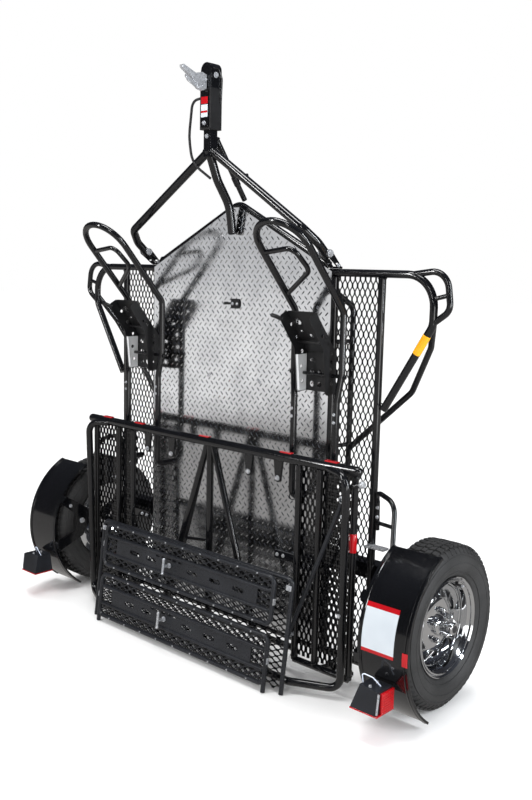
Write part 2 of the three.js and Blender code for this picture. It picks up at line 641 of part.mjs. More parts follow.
function rearRail(s) {
  const top = BUMPER_Z - BUMPER_R - GAP;
  const tubes = [REAR_INNER_X, REAR_MID_X, REAR_OUTER_X].map((x) => rod(
    vec(s * x, REAR_Y, LOW_BAR_Z), vec(s * x, REAR_Y, top), REAR_TUBE_R));
  const foot = rod(
    vec(s * REAR_INNER_X, REAR_Y, LOW_BAR_Z), vec(s * REAR_OUTER_X, REAR_Y, LOW_BAR_Z), REAR_TUBE_R);
  const [tabFrom, tabTo] = s > 0 ? [TAB_X, REAR_INNER_X] : [-REAR_INNER_X, -TAB_X];
  const tab = box(tabFrom, tabTo, REAR_Y - 3, REAR_Y + 3, 454, 486);
  const strap = cut(sidePlate(polygon([
    [REAR_Y, LOW_BAR_Z - 10], [REAR_Y, LOW_BAR_Z + 10], [FOLD_Y + 4, FOLD_Z + 12], [FOLD_Y + 13, FOLD_Z + 4],
    [FOLD_Y + 13, FOLD_Z - 6], [FOLD_Y + 4, FOLD_Z - 12],
  ]), s * HINGE_X - BARREL_HALF, 2 * BARREL_HALF), rod(
    vec(s * HINGE_X - 40, FOLD_Y, FOLD_Z), vec(s * HINGE_X + 40, FOLD_Y, FOLD_Z), PIN_R + 1.3, 14));
  return join(...tubes, foot, tab, strap);
}

for (const [name, s] of Object.entries(side)) {
  addPiece(`rear_rail_${name}`, rearRail(s), black);
  const [x0, x1] = s > 0 ? [REAR_INNER_X - 12, REAR_OUTER_X + 12] : [-REAR_OUTER_X - 12, -REAR_INNER_X + 12];
  addPiece(`rear_mesh_${name}`, platePanel(
    diamondSheet(x0, x1, 92, BUMPER_Z - 24, 3, 5), REAR_Y + REAR_TUBE_R + GAP, 3), mesh);
}

const SPINE_Y = -188;
const SPINE_LOW_Z = 110;
const spineEnd = REAR_INNER_X - REAR_TUBE_R - GAP;
const spineCross = rod(
  vec(-spineEnd, SPINE_Y, SPINE_LOW_Z), vec(spineEnd, SPINE_Y, SPINE_LOW_Z), REAR_TUBE_R);
const spinePost = rod(
  vec(0, SPINE_Y, SPINE_LOW_Z), vec(0, SPINE_Y, BUMPER_Z - BUMPER_R - GAP), REAR_TUBE_R);
const spineLegs = [-1, 1].map((s) => tube(flipX([
  vec(8, SPINE_Y, 812), vec(48, SPINE_Y, 790), vec(262, SPINE_Y, 112),
], s), 11, 30));
addPiece('rear_spine', join(spineCross, spinePost, ...spineLegs), black);
addPiece('ramp_stay_rod', rod(vec(712, REAR_Y - 21, 735), vec(500, REAR_Y - 21, 190), 5.5, 8), black);

// ---------------------------------------------------------------- ramp rack and ramps
const rack = new THREE.Group();
rack.name = 'ramp_rack_group';
rack.position.set(0, RACK_Y, 0);
rack.rotation.x = -RACK_LEAN;
trailer.add(rack);

const RACK_R = 9;
/** Height in the leaning rack at which a bar standing y outside the rack plane just meets the ground. */
const rackFoot = (y) => (RACK_R + y) * Math.tan(RACK_LEAN);
addPiece('ramp_rack_frame', tube([
  vec(-RACK_HALF, 0, rackFoot(0)), vec(-RACK_HALF, 0, RACK_TOP), vec(RACK_HALF, 0, RACK_TOP),
  vec(RACK_HALF, 0, rackFoot(0)),
], RACK_R, 26, 8), black, rack);
addPiece('ramp_rack_mesh', platePanel(
  diamondSheet(-RACK_HALF + 18, RACK_HALF - 18, 26, RACK_TOP - 16, 8, 2), -1.5, 3), mesh, rack);

const RAMP_Y = -34;
function ramp(low, high, feet) {
  const mid = (low + high) / 2;
  const frame = (s) => tube(flipX([
    vec(-2, RAMP_Y, low), vec(RAMP_HALF, RAMP_Y, low), vec(RAMP_HALF, RAMP_Y, high), vec(-2, RAMP_Y, high),
  ], s), RACK_R, 30, 8);
  const bars = [mid - 38, mid + 38].map((z) => rod(
    vec(-RAMP_HALF, RAMP_Y, z), vec(RAMP_HALF, RAMP_Y, z), 8, 8));
  const slots = [-300, 300].map((x) => box(x - 45, x + 45, RAMP_Y - 20, RAMP_Y + 20, mid - 13, mid + 13));
  const strip = cut(box(-420, 420, RAMP_Y - 2, RAMP_Y + 2, mid - 38, mid + 38), ...slots);
  const legs = feet ? [-1, 1].map((s) => rod(
    vec(s * RAMP_HALF, RAMP_Y, rackFoot(RAMP_Y)), vec(s * RAMP_HALF, RAMP_Y, low + 40), RACK_R, 8)) : [];
  return join(frame(1), frame(-1), ...bars, strip, ...legs);
}

const RAMP_LEVELS = { upper: [252, 432, false], lower: [26, 208, true] };
const CLAMP_X = -75;
for (const [name, [low, high, feet]] of Object.entries(RAMP_LEVELS)) {
  addPiece(`ramp_${name}`, ramp(low, high, feet), black, rack);
  const z = (low + high) / 2;
  const clampY = RAMP_Y - 2 - GAP;
  const screw = rod(vec(CLAMP_X, clampY, z), vec(CLAMP_X, clampY - 34, z), 7, 8);
  const bar = rod(vec(CLAMP_X, clampY - 34, z - 34), vec(CLAMP_X, clampY - 34, z + 34), 5, 8);
  addPiece(`ramp_clamp_${name}`, join(screw, bar), steel, rack);
}

export default trailer;
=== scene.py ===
"""Studio scene of the stand-up motorcycle trailer: its visible pieces, their finishes, lights and camera."""

import math

import bmesh
import bpy
from mathutils import Matrix, Vector
from mathutils.geometry import tessellate_polygon


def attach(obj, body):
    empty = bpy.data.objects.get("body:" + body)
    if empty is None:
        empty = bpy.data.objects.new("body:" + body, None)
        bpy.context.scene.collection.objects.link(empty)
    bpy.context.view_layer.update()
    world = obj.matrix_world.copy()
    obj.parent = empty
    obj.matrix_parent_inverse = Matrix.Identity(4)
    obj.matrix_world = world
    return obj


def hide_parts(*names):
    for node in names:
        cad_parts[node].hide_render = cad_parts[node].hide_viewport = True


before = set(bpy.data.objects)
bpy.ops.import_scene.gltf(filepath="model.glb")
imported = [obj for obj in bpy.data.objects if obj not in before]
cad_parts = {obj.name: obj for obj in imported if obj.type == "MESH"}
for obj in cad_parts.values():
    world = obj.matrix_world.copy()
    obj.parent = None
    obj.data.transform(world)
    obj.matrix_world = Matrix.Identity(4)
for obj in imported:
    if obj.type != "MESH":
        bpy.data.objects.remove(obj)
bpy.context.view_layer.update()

# ------------------------------------------------------------------ driving dimensions, millimetres
MM = 0.001
WHEEL_R = 305.0
WHEEL_X = 979.0
TYRE_HALF = 88.5
TUBE_R = 14.3
RAIL_Y = -41.0
OUTER_RAIL_X = 724.0
INNER_RAIL_X = 509.0
CROSSBAR_Z = 1560.0
LOW_BAR_Z = 72.0
BOW_X = 945.0
DECK_Y = -60.5
DECK_HALF = 487.0
DECK_EAVE_Z = 1578.0
DECK_PEAK_Z = 1832.0
CHOCK_X = 500.0
CHOCK_HALF = 116.0
PIN = Vector((510, -106, 1630))
POST_Y = -212.0
POST_FOOT_Z = 2030.0
COUPLER_LOW_Z = 2098.0
COUPLER_TOP_Z = 2350.0
FOLD_Y = -118.0
FOLD_Z = 55.0
HINGE_X = 620.0
BUMPER_Y = -205.0
BUMPER_Z = 861.0
REAR_Y = -195.0
HOOP_X = 739.0
HOOP_Y = -226.0
RACK_LEAN = math.radians(7.27)
RACK_Y = -350.0
RACK_HALF = 558.0
RACK_TOP = 434.0
RAMP_HALF = 497.0
RAMP_Y = -34.0
AXLE_Y = 22.0
AXLE_Z = 430.0
ARM_X = 850.0
FENDER_R = 336.0
FENDER_IN = 892.0
FENDER_OUT = 1097.0
SIDES = {"left": -1, "right": 1}


def v(x, y, z):
    return Vector((x, y, z))


# ------------------------------------------------------------------ materials
def new_material(name):
    mat = bpy.data.materials.new(name)
    mat.use_nodes = True
    tree = mat.node_tree
    return mat, tree, tree.nodes["Principled BSDF"]


def noise(tree, scale, detail=3.0, stretch=(1, 1, 1)):
    coords = tree.nodes.new("ShaderNodeTexCoord")
    mapping = tree.nodes.new("ShaderNodeMapping")
    mapping.inputs["Scale"].default_value = stretch
    tex = tree.nodes.new("ShaderNodeTexNoise")
    tex.inputs["Scale"].default_value = scale
    tex.inputs["Detail"].default_value = detail
    tree.links.new(coords.outputs["Object"], mapping.inputs["Vector"])
    tree.links.new(mapping.outputs["Vector"], tex.inputs["Vector"])
    return tex.outputs["Fac"]


def spread(tree, value, low, high):
    ramp = tree.nodes.new("ShaderNodeMapRange")
    ramp.inputs["From Min"].default_value = 0.35
    ramp.inputs["From Max"].default_value = 0.65
    ramp.inputs["To Min"].default_value = low
    ramp.inputs["To Max"].default_value = high
    tree.links.new(value, ramp.inputs["Value"])
    return ramp.outputs["Result"]


def tint(tree, value, dark, light):
    ramp = tree.nodes.new("ShaderNodeValToRGB")
    ramp.color_ramp.elements[0].position = 0.32
    ramp.color_ramp.elements[1].position = 0.7
    ramp.color_ramp.elements[0].color = (*dark, 1)
    ramp.color_ramp.elements[1].color = (*light, 1)
    tree.links.new(value, ramp.inputs["Fac"])
    return ramp.outputs["Color"]


def bump(tree, shader, height, strength, distance):
    node = tree.nodes.new("ShaderNodeBump")
    node.inputs["Strength"].default_value = strength
    node.inputs["Distance"].default_value = distance
    tree.links.new(height, node.inputs["Height"])
    tree.links.new(node.outputs["Normal"], shader.inputs["Normal"])


def finish_material(name, dark, light, rough, metallic=0.0, grain=40.0, relief=(0.1, 0.0002), stretch=(1, 1, 1),
                    coat=0.0):
    """A painted, plated or moulded finish: mottled colour and gloss with a fine surface grain."""
    mat, tree, shader = new_material(name)
    patches = noise(tree, 7.0, 4.0)
    tree.links.new(tint(tree, patches, dark, light), shader.inputs["Base Color"])
    fine = noise(tree, grain, 5.0, stretch)
    tree.links.new(spread(tree, fine, rough[0], rough[1]), shader.inputs["Roughness"])
    shader.inputs["Metallic"].default_value = metallic
    shader.inputs["Coat Weight"].default_value = coat
    shader.inputs["Coat Roughness"].default_value = 0.06
    bump(tree, shader, fine, *relief)
    return mat


BLACK = finish_material("gloss_black", (0.0025, 0.0027, 0.0034), (0.0042, 0.0044, 0.0056), (0.12, 0.2), grain=120,
                        relief=(0.04, 0.0001), coat=0.6)
CHARCOAL = finish_material("charcoal_paint", (0.006, 0.006, 0.0066), (0.012, 0.012, 0.013), (0.3, 0.42), grain=220)
CHROME = finish_material("chrome", (0.72, 0.73, 0.75), (0.82, 0.83, 0.84), (0.03, 0.09), 1.0, grain=60,
                         relief=(0.02, 0.0001))
ZINC = finish_material("bright_zinc", (0.52, 0.54, 0.58), (0.74, 0.75, 0.77), (0.22, 0.36), 0.7, grain=90)
TREAD = finish_material("tread_aluminium", (0.62, 0.63, 0.65), (0.74, 0.75, 0.77), (0.1, 0.18), 1.0, grain=18,
                        relief=(0.05, 0.0002))
SATIN = finish_material("satin_black", (0.011, 0.012, 0.015), (0.018, 0.0195, 0.024), (0.26, 0.38), grain=200,
                        relief=(0.1, 0.0002))
BARE = finish_material("bare_steel", (0.6, 0.61, 0.62), (0.78, 0.79, 0.8), (0.35, 0.5), 0.1, grain=60)
RUBBER = finish_material("tyre_rubber", (0.02, 0.02, 0.0205), (0.038, 0.038, 0.039), (0.5, 0.68), grain=300,
                         relief=(0.25, 0.0004))
LAMP = finish_material("lamp_plastic", (0.008, 0.009, 0.012), (0.016, 0.018, 0.024), (0.38, 0.5), grain=400,
                       relief=(0.3, 0.0003))
RED = finish_material("red_lens", (0.36, 0.003, 0.006), (0.5, 0.006, 0.012), (0.1, 0.2), grain=80, coat=0.6)
AMBER = finish_material("amber_tape", (0.72, 0.33, 0.004), (0.86, 0.42, 0.01), (0.12, 0.22), grain=80, coat=0.6)
WHITE = finish_material("white_sheet", (0.55, 0.6, 0.65), (0.62, 0.67, 0.71), (0.3, 0.42), grain=50)
SLEEVE = finish_material("cable_sleeve", (0.012, 0.012, 0.013), (0.02, 0.02, 0.022), (0.4, 0.55), grain=500)
WIRE = finish_material("wire_sheath", (0.55, 0.62, 0.8), (0.7, 0.76, 0.86), (0.3, 0.45), grain=200)
# Painted shade: near black for the wedges that stand in for the rim's openings
SHADOW = finish_material("painted_window_shade", (0.004, 0.004, 0.005), (0.009, 0.009, 0.01), (0.35, 0.5), grain=100)


# ------------------------------------------------------------------ geometry kit
def bent_path(points, bends, step=9.0):
    """Stations (point, tangent) along straight runs joined by round bends; one radius, or one for each corner."""
    radii = bends if isinstance(bends, (list, tuple)) else [bends] * (len(points) - 2)
    stations = [(points[0], (points[1] - points[0]).normalized())]
    for before, corner, after, radius in zip(points, points[1:], points[2:], radii):
        inward = (corner - before).normalized()
        outward = (after - corner).normalized()
        turn = inward.angle(outward)
        if turn < 1e-4:
            continue
        start = corner - inward * (radius * math.tan(turn / 2))
        across = (outward - inward * inward.dot(outward)).normalized()
        count = max(2, math.ceil(math.degrees(turn) / step))
        for k in range(count + 1):
            a = turn * k / count
            point = start + inward * (radius * math.sin(a)) + across * (radius * (1 - math.cos(a)))
            stations.append((point, inward * math.cos(a) + across * math.sin(a)))
    stations.append((points[-1], (points[-1] - points[-2]).normalized()))
    return stations


def perpendicular(direction, hint=None):
    for guess in (hint, v(0, 1, 0), v(1, 0, 0)):
        if guess is None:
            continue
        flat = guess - direction * guess.dot(direction)
        if flat.length > 0.1:
            return flat.normalized()
    return v(0, 0, 1)


def circle(radius, count):
    return [(radius * math.cos(math.tau * i / count), radius * math.sin(math.tau * i / count)) for i in range(count)]


class Piece:
    """Collects closed solids, each with its own material, into one mesh object."""

    def __init__(self, name, material):
        self.name = name
        self.material = material
        self.verts = []
        self.faces = []
        self.face_materials = []
        self.materials = []
        self.move = Matrix.Identity(4)

    def add(self, verts, faces, material=None):
        material = material or self.material
        if material not in self.materials:
            self.materials.append(material)
        base = len(self.verts)
        self.verts.extend(self.move @ Vector(p) for p in verts)
        self.faces.extend([base + i for i in face] for face in faces)
        self.face_materials.extend([self.materials.index(material)] * len(faces))
        return self

    def sweep(self, stations, section, hint=None, material=None, closed=False):
        """Sweeps a section, a list of (a, b) or a function of the share along the path, along stations."""
        across = perpendicular(stations[0][1], hint)
        rings = []
        verts = []
        for k, (point, tangent) in enumerate(stations):
            across = (across - tangent * across.dot(tangent)).normalized()
            other = tangent.cross(across)
            outline = section(k / (len(stations) - 1)) if callable(section) else section
            rings.append(range(len(verts), len(verts) + len(outline)))
            verts.extend(point + across * a + other * b for a, b in outline)
        faces = []
        pairs = list(zip(rings, rings[1:]))
        if closed:
            pairs.append((rings[-1], rings[0]))
        for ring, following in pairs:
            count = len(ring)
            for i in range(count):
                j = (i + 1) % count
                faces.append([ring[i], ring[j], following[j], following[i]])
        if not closed:
            faces.append(list(reversed(rings[0])))
            faces.append(list(rings[-1]))
        return self.add(verts, faces, material)

    def tube(self, points, radius, bends=50.0, count=18, material=None):
        return self.sweep(bent_path(points, bends), circle(radius, count), material=material)

    def rod(self, a, b, radius, count=16, material=None):
        direction = (b - a).normalized()
        return self.sweep([(a, direction), (b, direction)], circle(radius, count), material=material)

    def bar(self, a, b, width, depth, hint, material=None):
        """Square-edged bar from a to b, width along the hint direction and depth across it."""
        direction = (b - a).normalized()
        section = [(-width / 2, -depth / 2), (width / 2, -depth / 2), (width / 2, depth / 2), (-width / 2, depth / 2)]
        return self.sweep([(a, direction), (b, direction)], section, hint, material)

    def box(self, x0, x1, y0, y1, z0, z1, material=None):
        corners = [v(x, y, z) for z in (z0, z1) for y in (y0, y1) for x in (x0, x1)]
        faces = [(0, 2, 3, 1), (4, 5, 7, 6), (0, 1, 5, 4), (2, 6, 7, 3), (0, 4, 6, 2), (1, 3, 7, 5)]
        return self.add(corners, faces, material)

    def lathe(self, profile, centre, axis, count=48, material=None):
        """Turns (radius, offset along axis) pairs round an axis; radius 0 closes on the axis."""
        across = perpendicular(axis)
        other = axis.cross(across)
        verts = []
        rings = []
        for radius, offset in profile:
            size = 1 if radius < 1e-6 else count
            rings.append(list(range(len(verts), len(verts) + size)))
            for i in range(size):
                a = math.tau * i / count
                verts.append(centre + axis * offset + (across * math.cos(a) + other * math.sin(a)) * radius)
        faces = []
        for ring, following in zip(rings, rings[1:]):
            for i in range(count):
                j = (i + 1) % count
                quad = [ring[i % len(ring)], ring[j % len(ring)], following[j % len(following)],
                        following[i % len(following)]]
                unique = list(dict.fromkeys(quad))
                if len(unique) > 2:
                    faces.append(unique)
        return self.add(verts, faces, material)

    def ring(self, centre, axis, radius, thickness, count=24, material=None):
        """Bead or washer: a round bar bent into a full circle."""
        across = perpendicular(axis)
        other = axis.cross(across)
        stations = []
        for i in range(count):
            a = math.tau * i / count
            outward = across * math.cos(a) + other * math.sin(a)
            stations.append((centre + outward * radius, other * math.cos(a) - across * math.sin(a)))
        return self.sweep(stations, circle(thickness, 8), axis, material, closed=True)

    def plate(self, outline, origin, along, up, thickness, holes=(), material=None):
        """Flat plate: outline and holes are (a, b) lists in the plane of along and up, thick along their cross."""
        normal = along.cross(up).normalized()
        loops = [list(outline)] + [list(hole) for hole in holes]
        flat = [Vector((a, b, 0)) for loop in loops for a, b in loop]
        triangles = tessellate_polygon([[Vector((a, b, 0)) for a, b in loop] for loop in loops])
        count = len(flat)
        verts = [origin + along * p.x + up * p.y for p in flat]
        verts += [p + normal * thickness for p in verts]
        faces = []
        for a, b, c in triangles:
            turn = (flat[b] - flat[a]).cross(flat[c] - flat[a]).z
            up_order = (a, b, c) if turn > 0 else (a, c, b)
            faces.append([i + count for i in up_order])
            faces.append(list(reversed(up_order)))
        start = 0
        for loop in loops:
            for i in range(len(loop)):
                a = start + i
                b = start + (i + 1) % len(loop)
                faces.append([a, b, b + count, a + count])
            start += len(loop)
        return self.add(verts, faces, material)

    def hex_bolt(self, centre, axis, size=8.0, height=6.0, material=None):
        """Hexagon head on a washer, standing off a face along the axis."""
        material = material or ZINC
        self.rod(centre, centre + axis * 1.6, size * 1.25, 20, material)
        return self.rod(centre + axis * 1.6, centre + axis * (1.6 + height), size, 6, material)

    def make(self, body, *nodes, slot=None, bevel=0.7, smooth=38.0):
        mesh = bpy.data.meshes.new(self.name)
        mesh.from_pydata([(p - v(0, DECK_Y, 0)) * MM for p in self.verts], [], self.faces)
        for material in self.materials:
            mesh.materials.append(material)
        mesh.polygons.foreach_set("material_index", self.face_materials)
        mesh.update()
        work = bmesh.new()
        work.from_mesh(mesh)
        bmesh.ops.recalc_face_normals(work, faces=work.faces)
        work.to_mesh(mesh)
        work.free()
        mesh.shade_smooth()
        mesh.set_sharp_from_angle(angle=math.radians(smooth))
        obj = bpy.data.objects.new(self.name, mesh)
        bpy.context.scene.collection.objects.link(obj)
        if bevel:
            soften = obj.modifiers.new("edge", "BEVEL")
            soften.width = bevel * MM
            soften.segments = 2
            soften.limit_method = "ANGLE"
            soften.angle_limit = math.radians(50)
            soften.harden_normals = True
        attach(obj, body)
        if nodes:
            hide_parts(*nodes)
        return obj


def disc(a, b, radius, count=16):
    return [(a + x, b + y) for x, y in circle(radius, count)]


def slot_hole(a, b, length, width, count=6):
    """Outline of a round-ended slot along the first axis."""
    points = []
    for end in (1, -1):
        for i in range(count + 1):
            t = math.pi * i / count - math.pi / 2
            points.append((a + end * (length - width) / 2 + end * width / 2 * math.cos(t), b + end * width / 2 * math.sin(t)))
    return points


def flip(points, s):
    return [v(p.x * s, p.y, p.z) for p in points]


# ------------------------------------------------------------------ expanded metal and tread plate
STRAND_PITCH_X = 23.4
STRAND_PITCH_Z = 50.8


def expanded_metal(piece, x0, x1, z0, z1, y, upright=True, strand=3.6):
    """Raised expanded metal: knuckles on a staggered grid joined by slanting strands, long way up or across."""
    half_x, half_z = (STRAND_PITCH_X / 2, STRAND_PITCH_Z / 2) if upright else (STRAND_PITCH_Z / 2, STRAND_PITCH_X / 2)
    long_way = v(0, 0, 1) if upright else v(1, 0, 0)
    short_way = v(1, 0, 0) if upright else v(0, 0, 1)
    columns = math.ceil((x1 - x0) / half_x)
    rows = math.ceil((z1 - z0) / half_z)
    for i in range(columns + 1):
        for k in range(i % 2, rows + 1, 2):
            knuckle = v(x0 + i * half_x, y, z0 + k * half_z)
            if knuckle.x > x1 or knuckle.z > z1:
                continue
            piece.bar(knuckle - long_way * 6.5, knuckle + long_way * 6.5, strand * 1.8, 3.0, short_way)
            for way in (-1, 1):
                step = v(way * half_x, 0, half_z)
                if x0 <= knuckle.x + step.x <= x1 and knuckle.z + half_z <= z1:
                    start = knuckle + long_way * (4.0 * (1 if upright else way))
                    end = knuckle + step - long_way * (4.0 * (1 if upright else way))
                    piece.bar(start, end, strand, 3.0, short_way)


def tread_lugs(piece, inside, y):
    """Almond-shaped raised lugs in rows that lean one way, then the other."""
    pitch_x = 30.0
    pitch_z = 19.0
    length = 11.2
    for k in range(int(DECK_PEAK_Z / pitch_z)):
        lean = math.radians(44 if k % 2 else -44)
        along = v(math.sin(lean), 0, math.cos(lean))
        side = v(math.cos(lean), 0, -math.sin(lean))
        for i in range(-17, 18):
            centre = v(i * pitch_x + (7.5 if k % 2 else 22.5), y, 92 + k * pitch_z)
            if not inside(centre.x, centre.z):
                continue
            rim = [centre + along * length, centre + along * 6 + side * 2.8, centre - along * 6 + side * 2.8,
                   centre - along * length, centre - along * 6 - side * 2.8, centre + along * 6 - side * 2.8]
            crest = [centre + along * 7 + v(0, -2.0, 0), centre - along * 7 + v(0, -2.0, 0)]
            faces = [(0, 1, 6), (1, 2, 7, 6), (2, 3, 7), (3, 4, 7), (4, 5, 6, 7), (5, 0, 6), (5, 4, 3, 2, 1, 0)]
            piece.add(rim + crest, faces)

# ------------------------------------------------------------------ front frame
BOW_CORNERS = [v(-751.2, RAIL_Y, 1067), v(-BOW_X, RAIL_Y, 1385), v(-BOW_X, RAIL_Y, CROSSBAR_Z),
               v(BOW_X, RAIL_Y, CROSSBAR_Z), v(BOW_X, RAIL_Y, 1385), v(751.2, RAIL_Y, 1067)]

bow = Piece("front_bow", BLACK)
bow.tube(BOW_CORNERS, TUBE_R, [62, 112, 112, 62], 24)
for s in (-1, 1):
    bow.ring(v(s * 742, RAIL_Y, 1082), v(0.52 * s, 0, 0.85), 15.5, 2.6)
    for z, reach in ((1117, 140), (1109, 150)):
        bow.hex_bolt(v(s * reach, DECK_Y, z), v(0, -1, 0), 5, 3)
bow.make("front_frame", "front_bow_tube", slot="gloss_black")

SLOPE = (BOW_CORNERS[4] - BOW_CORNERS[5]).normalized()
marker = Piece("bow_marker_tape", AMBER)
marker.lathe([(14.4, 0), (15.2, 1), (15.2, 79), (14.4, 80)], BOW_CORNERS[5] + SLOPE * 252, SLOPE, 28)
marker.make("front_frame", bevel=0)

for name, s in SIDES.items():
    rails = Piece("front_rails_" + name, BLACK)
    top = CROSSBAR_Z - TUBE_R - 0.4
    low = LOW_BAR_Z + TUBE_R + 0.4
    rails.rod(v(s * INNER_RAIL_X, RAIL_Y, low), v(s * INNER_RAIL_X, RAIL_Y, top), TUBE_R, 22)
    chord = [v(s * INNER_RAIL_X, RAIL_Y, 1490), v(s * 534, 45, 1430), v(s * 534, 45, 580), v(s * INNER_RAIL_X, RAIL_Y, 520)]
    rails.tube(chord, 11, 40)
    for z in (1300, 895, 640):
        rails.rod(v(s * INNER_RAIL_X, RAIL_Y, z), v(s * 534, 45, z), 8)
        rails.ring(v(s * 533, 38, z), v(0.28 * s, 0.96, 0), 9, 2.0, 18)
    for z in (top - 2, low + 2):
        rails.ring(v(s * INNER_RAIL_X, RAIL_Y, z), v(0, 0, 1), 15, 2.4)
    rails.make("front_frame", "inner_truss_" + name, slot="gloss_black")

    outer = Piece("outer_rail_smooth_" + name, BLACK)
    outer.rod(v(s * OUTER_RAIL_X, RAIL_Y, low), v(s * OUTER_RAIL_X, RAIL_Y, top), TUBE_R, 22)
    for z in (top - 2, low + 2):
        outer.ring(v(s * OUTER_RAIL_X, RAIL_Y, z), v(0, 0, 1), 15, 2.4)
    outer.make("front_frame", "outer_rail_" + name, slot="gloss_black")

    hoop = Piece("side_hoop_smooth_" + name, BLACK)
    hoop.tube(flip([v(850, RAIL_Y, 1560), v(992, RAIL_Y, 1580), v(1012, RAIL_Y, 1440), v(944, RAIL_Y, 1392)], s), 11.5,
              [64, 44])
    hoop.rod(v(s * BOW_X, RAIL_Y, 1478), v(s * 1000, RAIL_Y, 1492), 8)
    hoop.make("front_frame", "side_hoop_" + name, slot="gloss_black")

    strut = Piece("back_strut_smooth_" + name, BLACK)
    strut.tube(flip([v(945, -34, 1414), v(894, 35, 1301), v(790, 84, 1125), v(536, 45, 880)], s), 11.5, 60)
    strut.make("front_frame", "back_strut_" + name, slot="gloss_black")

    panel = Piece("front_expanded_" + name, BLACK)
    inner = INNER_RAIL_X + TUBE_R + 3
    outer_x = OUTER_RAIL_X - TUBE_R - 2
    span = (inner - 4, outer_x + 4) if s > 0 else (-outer_x - 4, -inner + 4)
    expanded_metal(panel, *span, 92, 1548, RAIL_Y - 3)
    panel.make("front_frame", "front_mesh_" + name, slot="expanded_metal", bevel=0)


# ------------------------------------------------------------------ deck
def deck_edge(x):
    """Height of the deck's top edge at x: straight eaves rising to a cut-off peak."""
    reach = abs(x)
    if reach <= 20:
        return DECK_PEAK_Z
    if reach <= 55:
        return DECK_PEAK_Z - 28 * (reach - 20) / 35
    return DECK_EAVE_Z + (DECK_PEAK_Z - 28 - DECK_EAVE_Z) * (DECK_HALF - reach) / (DECK_HALF - 55)


DECK_LOW = LOW_BAR_Z + TUBE_R + 0.4
half_outline = [(506, DECK_LOW), (506, DECK_EAVE_Z - 14), (44, DECK_PEAK_Z - 32), (16, DECK_PEAK_Z - 20)]
fender_objects = []
deck = Piece("deck_tread_plate", TREAD)
deck.plate(half_outline + [(-x, z) for x, z in reversed(half_outline)], v(0, DECK_Y + 4, 0), v(1, 0, 0), v(0, 0, 1), 4)
tread_lugs(deck, lambda x, z: abs(x) < DECK_HALF + 10 and z < deck_edge(x) - 12, DECK_Y + 0.2)
deck_object = deck.make("front_frame", "deck_plate", slot="tread_plate", bevel=0, smooth=25)

roof = Piece("deck_bow_smooth", BLACK)
eave = CROSSBAR_Z + TUBE_R + 14
roof.tube([v(-478, RAIL_Y, eave), v(0, RAIL_Y, DECK_PEAK_Z - 4), v(478, RAIL_Y, eave)], TUBE_R, 60, 22)
for s in (-1, 1):
    roof.ring(v(s * 466, RAIL_Y, eave + 7), v(-s * 0.87, 0, 0.47), 15, 2.6)
roof.make("front_frame", "deck_bow_tube", slot="gloss_black")

latch = Piece("deck_hasp", BLACK)
latch.box(-52, -16, DECK_Y - 10, DECK_Y - 5, 1418, 1426, CHARCOAL)
latch.plate([(-16, 1402), (24, 1402), (32, 1412), (32, 1432), (24, 1442), (-16, 1442)],
            v(0, DECK_Y - 2.4, 0), v(1, 0, 0), v(0, 0, 1), 4, (), CHARCOAL)
for x in (-6, 20):
    latch.hex_bolt(v(x, DECK_Y - 6.4, 1422), v(0, -1, 0), 5, 3)
latch.box(-52, -46, DECK_Y - 10, DECK_Y - 0.5, 1416, 1428, CHARCOAL)
latch.make("front_frame", slot="charcoal_steel")

# ------------------------------------------------------------------ hinge between the two frames
CHEEK = [(RAIL_Y, LOW_BAR_Z - 10), (RAIL_Y, LOW_BAR_Z + 10), (FOLD_Y - 4, FOLD_Z + 13), (FOLD_Y - 14, FOLD_Z + 4),
         (FOLD_Y - 14, FOLD_Z - 6), (FOLD_Y - 4, FOLD_Z - 13)]
BARREL_HALF = 14
KNUCKLE_T = 8
low_bar = Piece("fold_hinge_smooth", BLACK)
low_bar.rod(v(-OUTER_RAIL_X, RAIL_Y, LOW_BAR_Z), v(OUTER_RAIL_X, RAIL_Y, LOW_BAR_Z), TUBE_R, 22)
for centre in (-HINGE_X, HINGE_X):
    for x in (centre - BARREL_HALF - 0.4 - KNUCKLE_T, centre + BARREL_HALF + 0.4):
        low_bar.plate(CHEEK, v(x, 0, 0), v(0, 1, 0), v(0, 0, 1), KNUCKLE_T)
    reach = BARREL_HALF + KNUCKLE_T + 1
    low_bar.rod(v(centre - reach, FOLD_Y, FOLD_Z), v(centre + reach, FOLD_Y, FOLD_Z), 7, 20, ZINC)
    for s in (-1, 1):
        low_bar.hex_bolt(v(centre + s * reach, FOLD_Y, FOLD_Z), v(s, 0, 0), 11, 6)
low_bar.make("front_frame", "fold_hinge_bar", slot="gloss_black")


# ------------------------------------------------------------------ axle, swing arms and fenders
axle = Piece("axle_beam", BLACK)
axle_end = ARM_X - 17.4
axle.box(-axle_end, axle_end, AXLE_Y - 30, AXLE_Y + 30, AXLE_Z - 30, AXLE_Z + 30)
for x in (-INNER_RAIL_X, INNER_RAIL_X):
    axle.box(x - 22, x + 22, RAIL_Y + TUBE_R + 0.4, AXLE_Y, AXLE_Z - 26, AXLE_Z + 26)
    for z in (-16, 16):
        axle.hex_bolt(v(x, AXLE_Y + 30, AXLE_Z + z), v(0, 1, 0), 8, 6)
axle.make("front_frame", "axle_tube", slot="gloss_black", bevel=3)

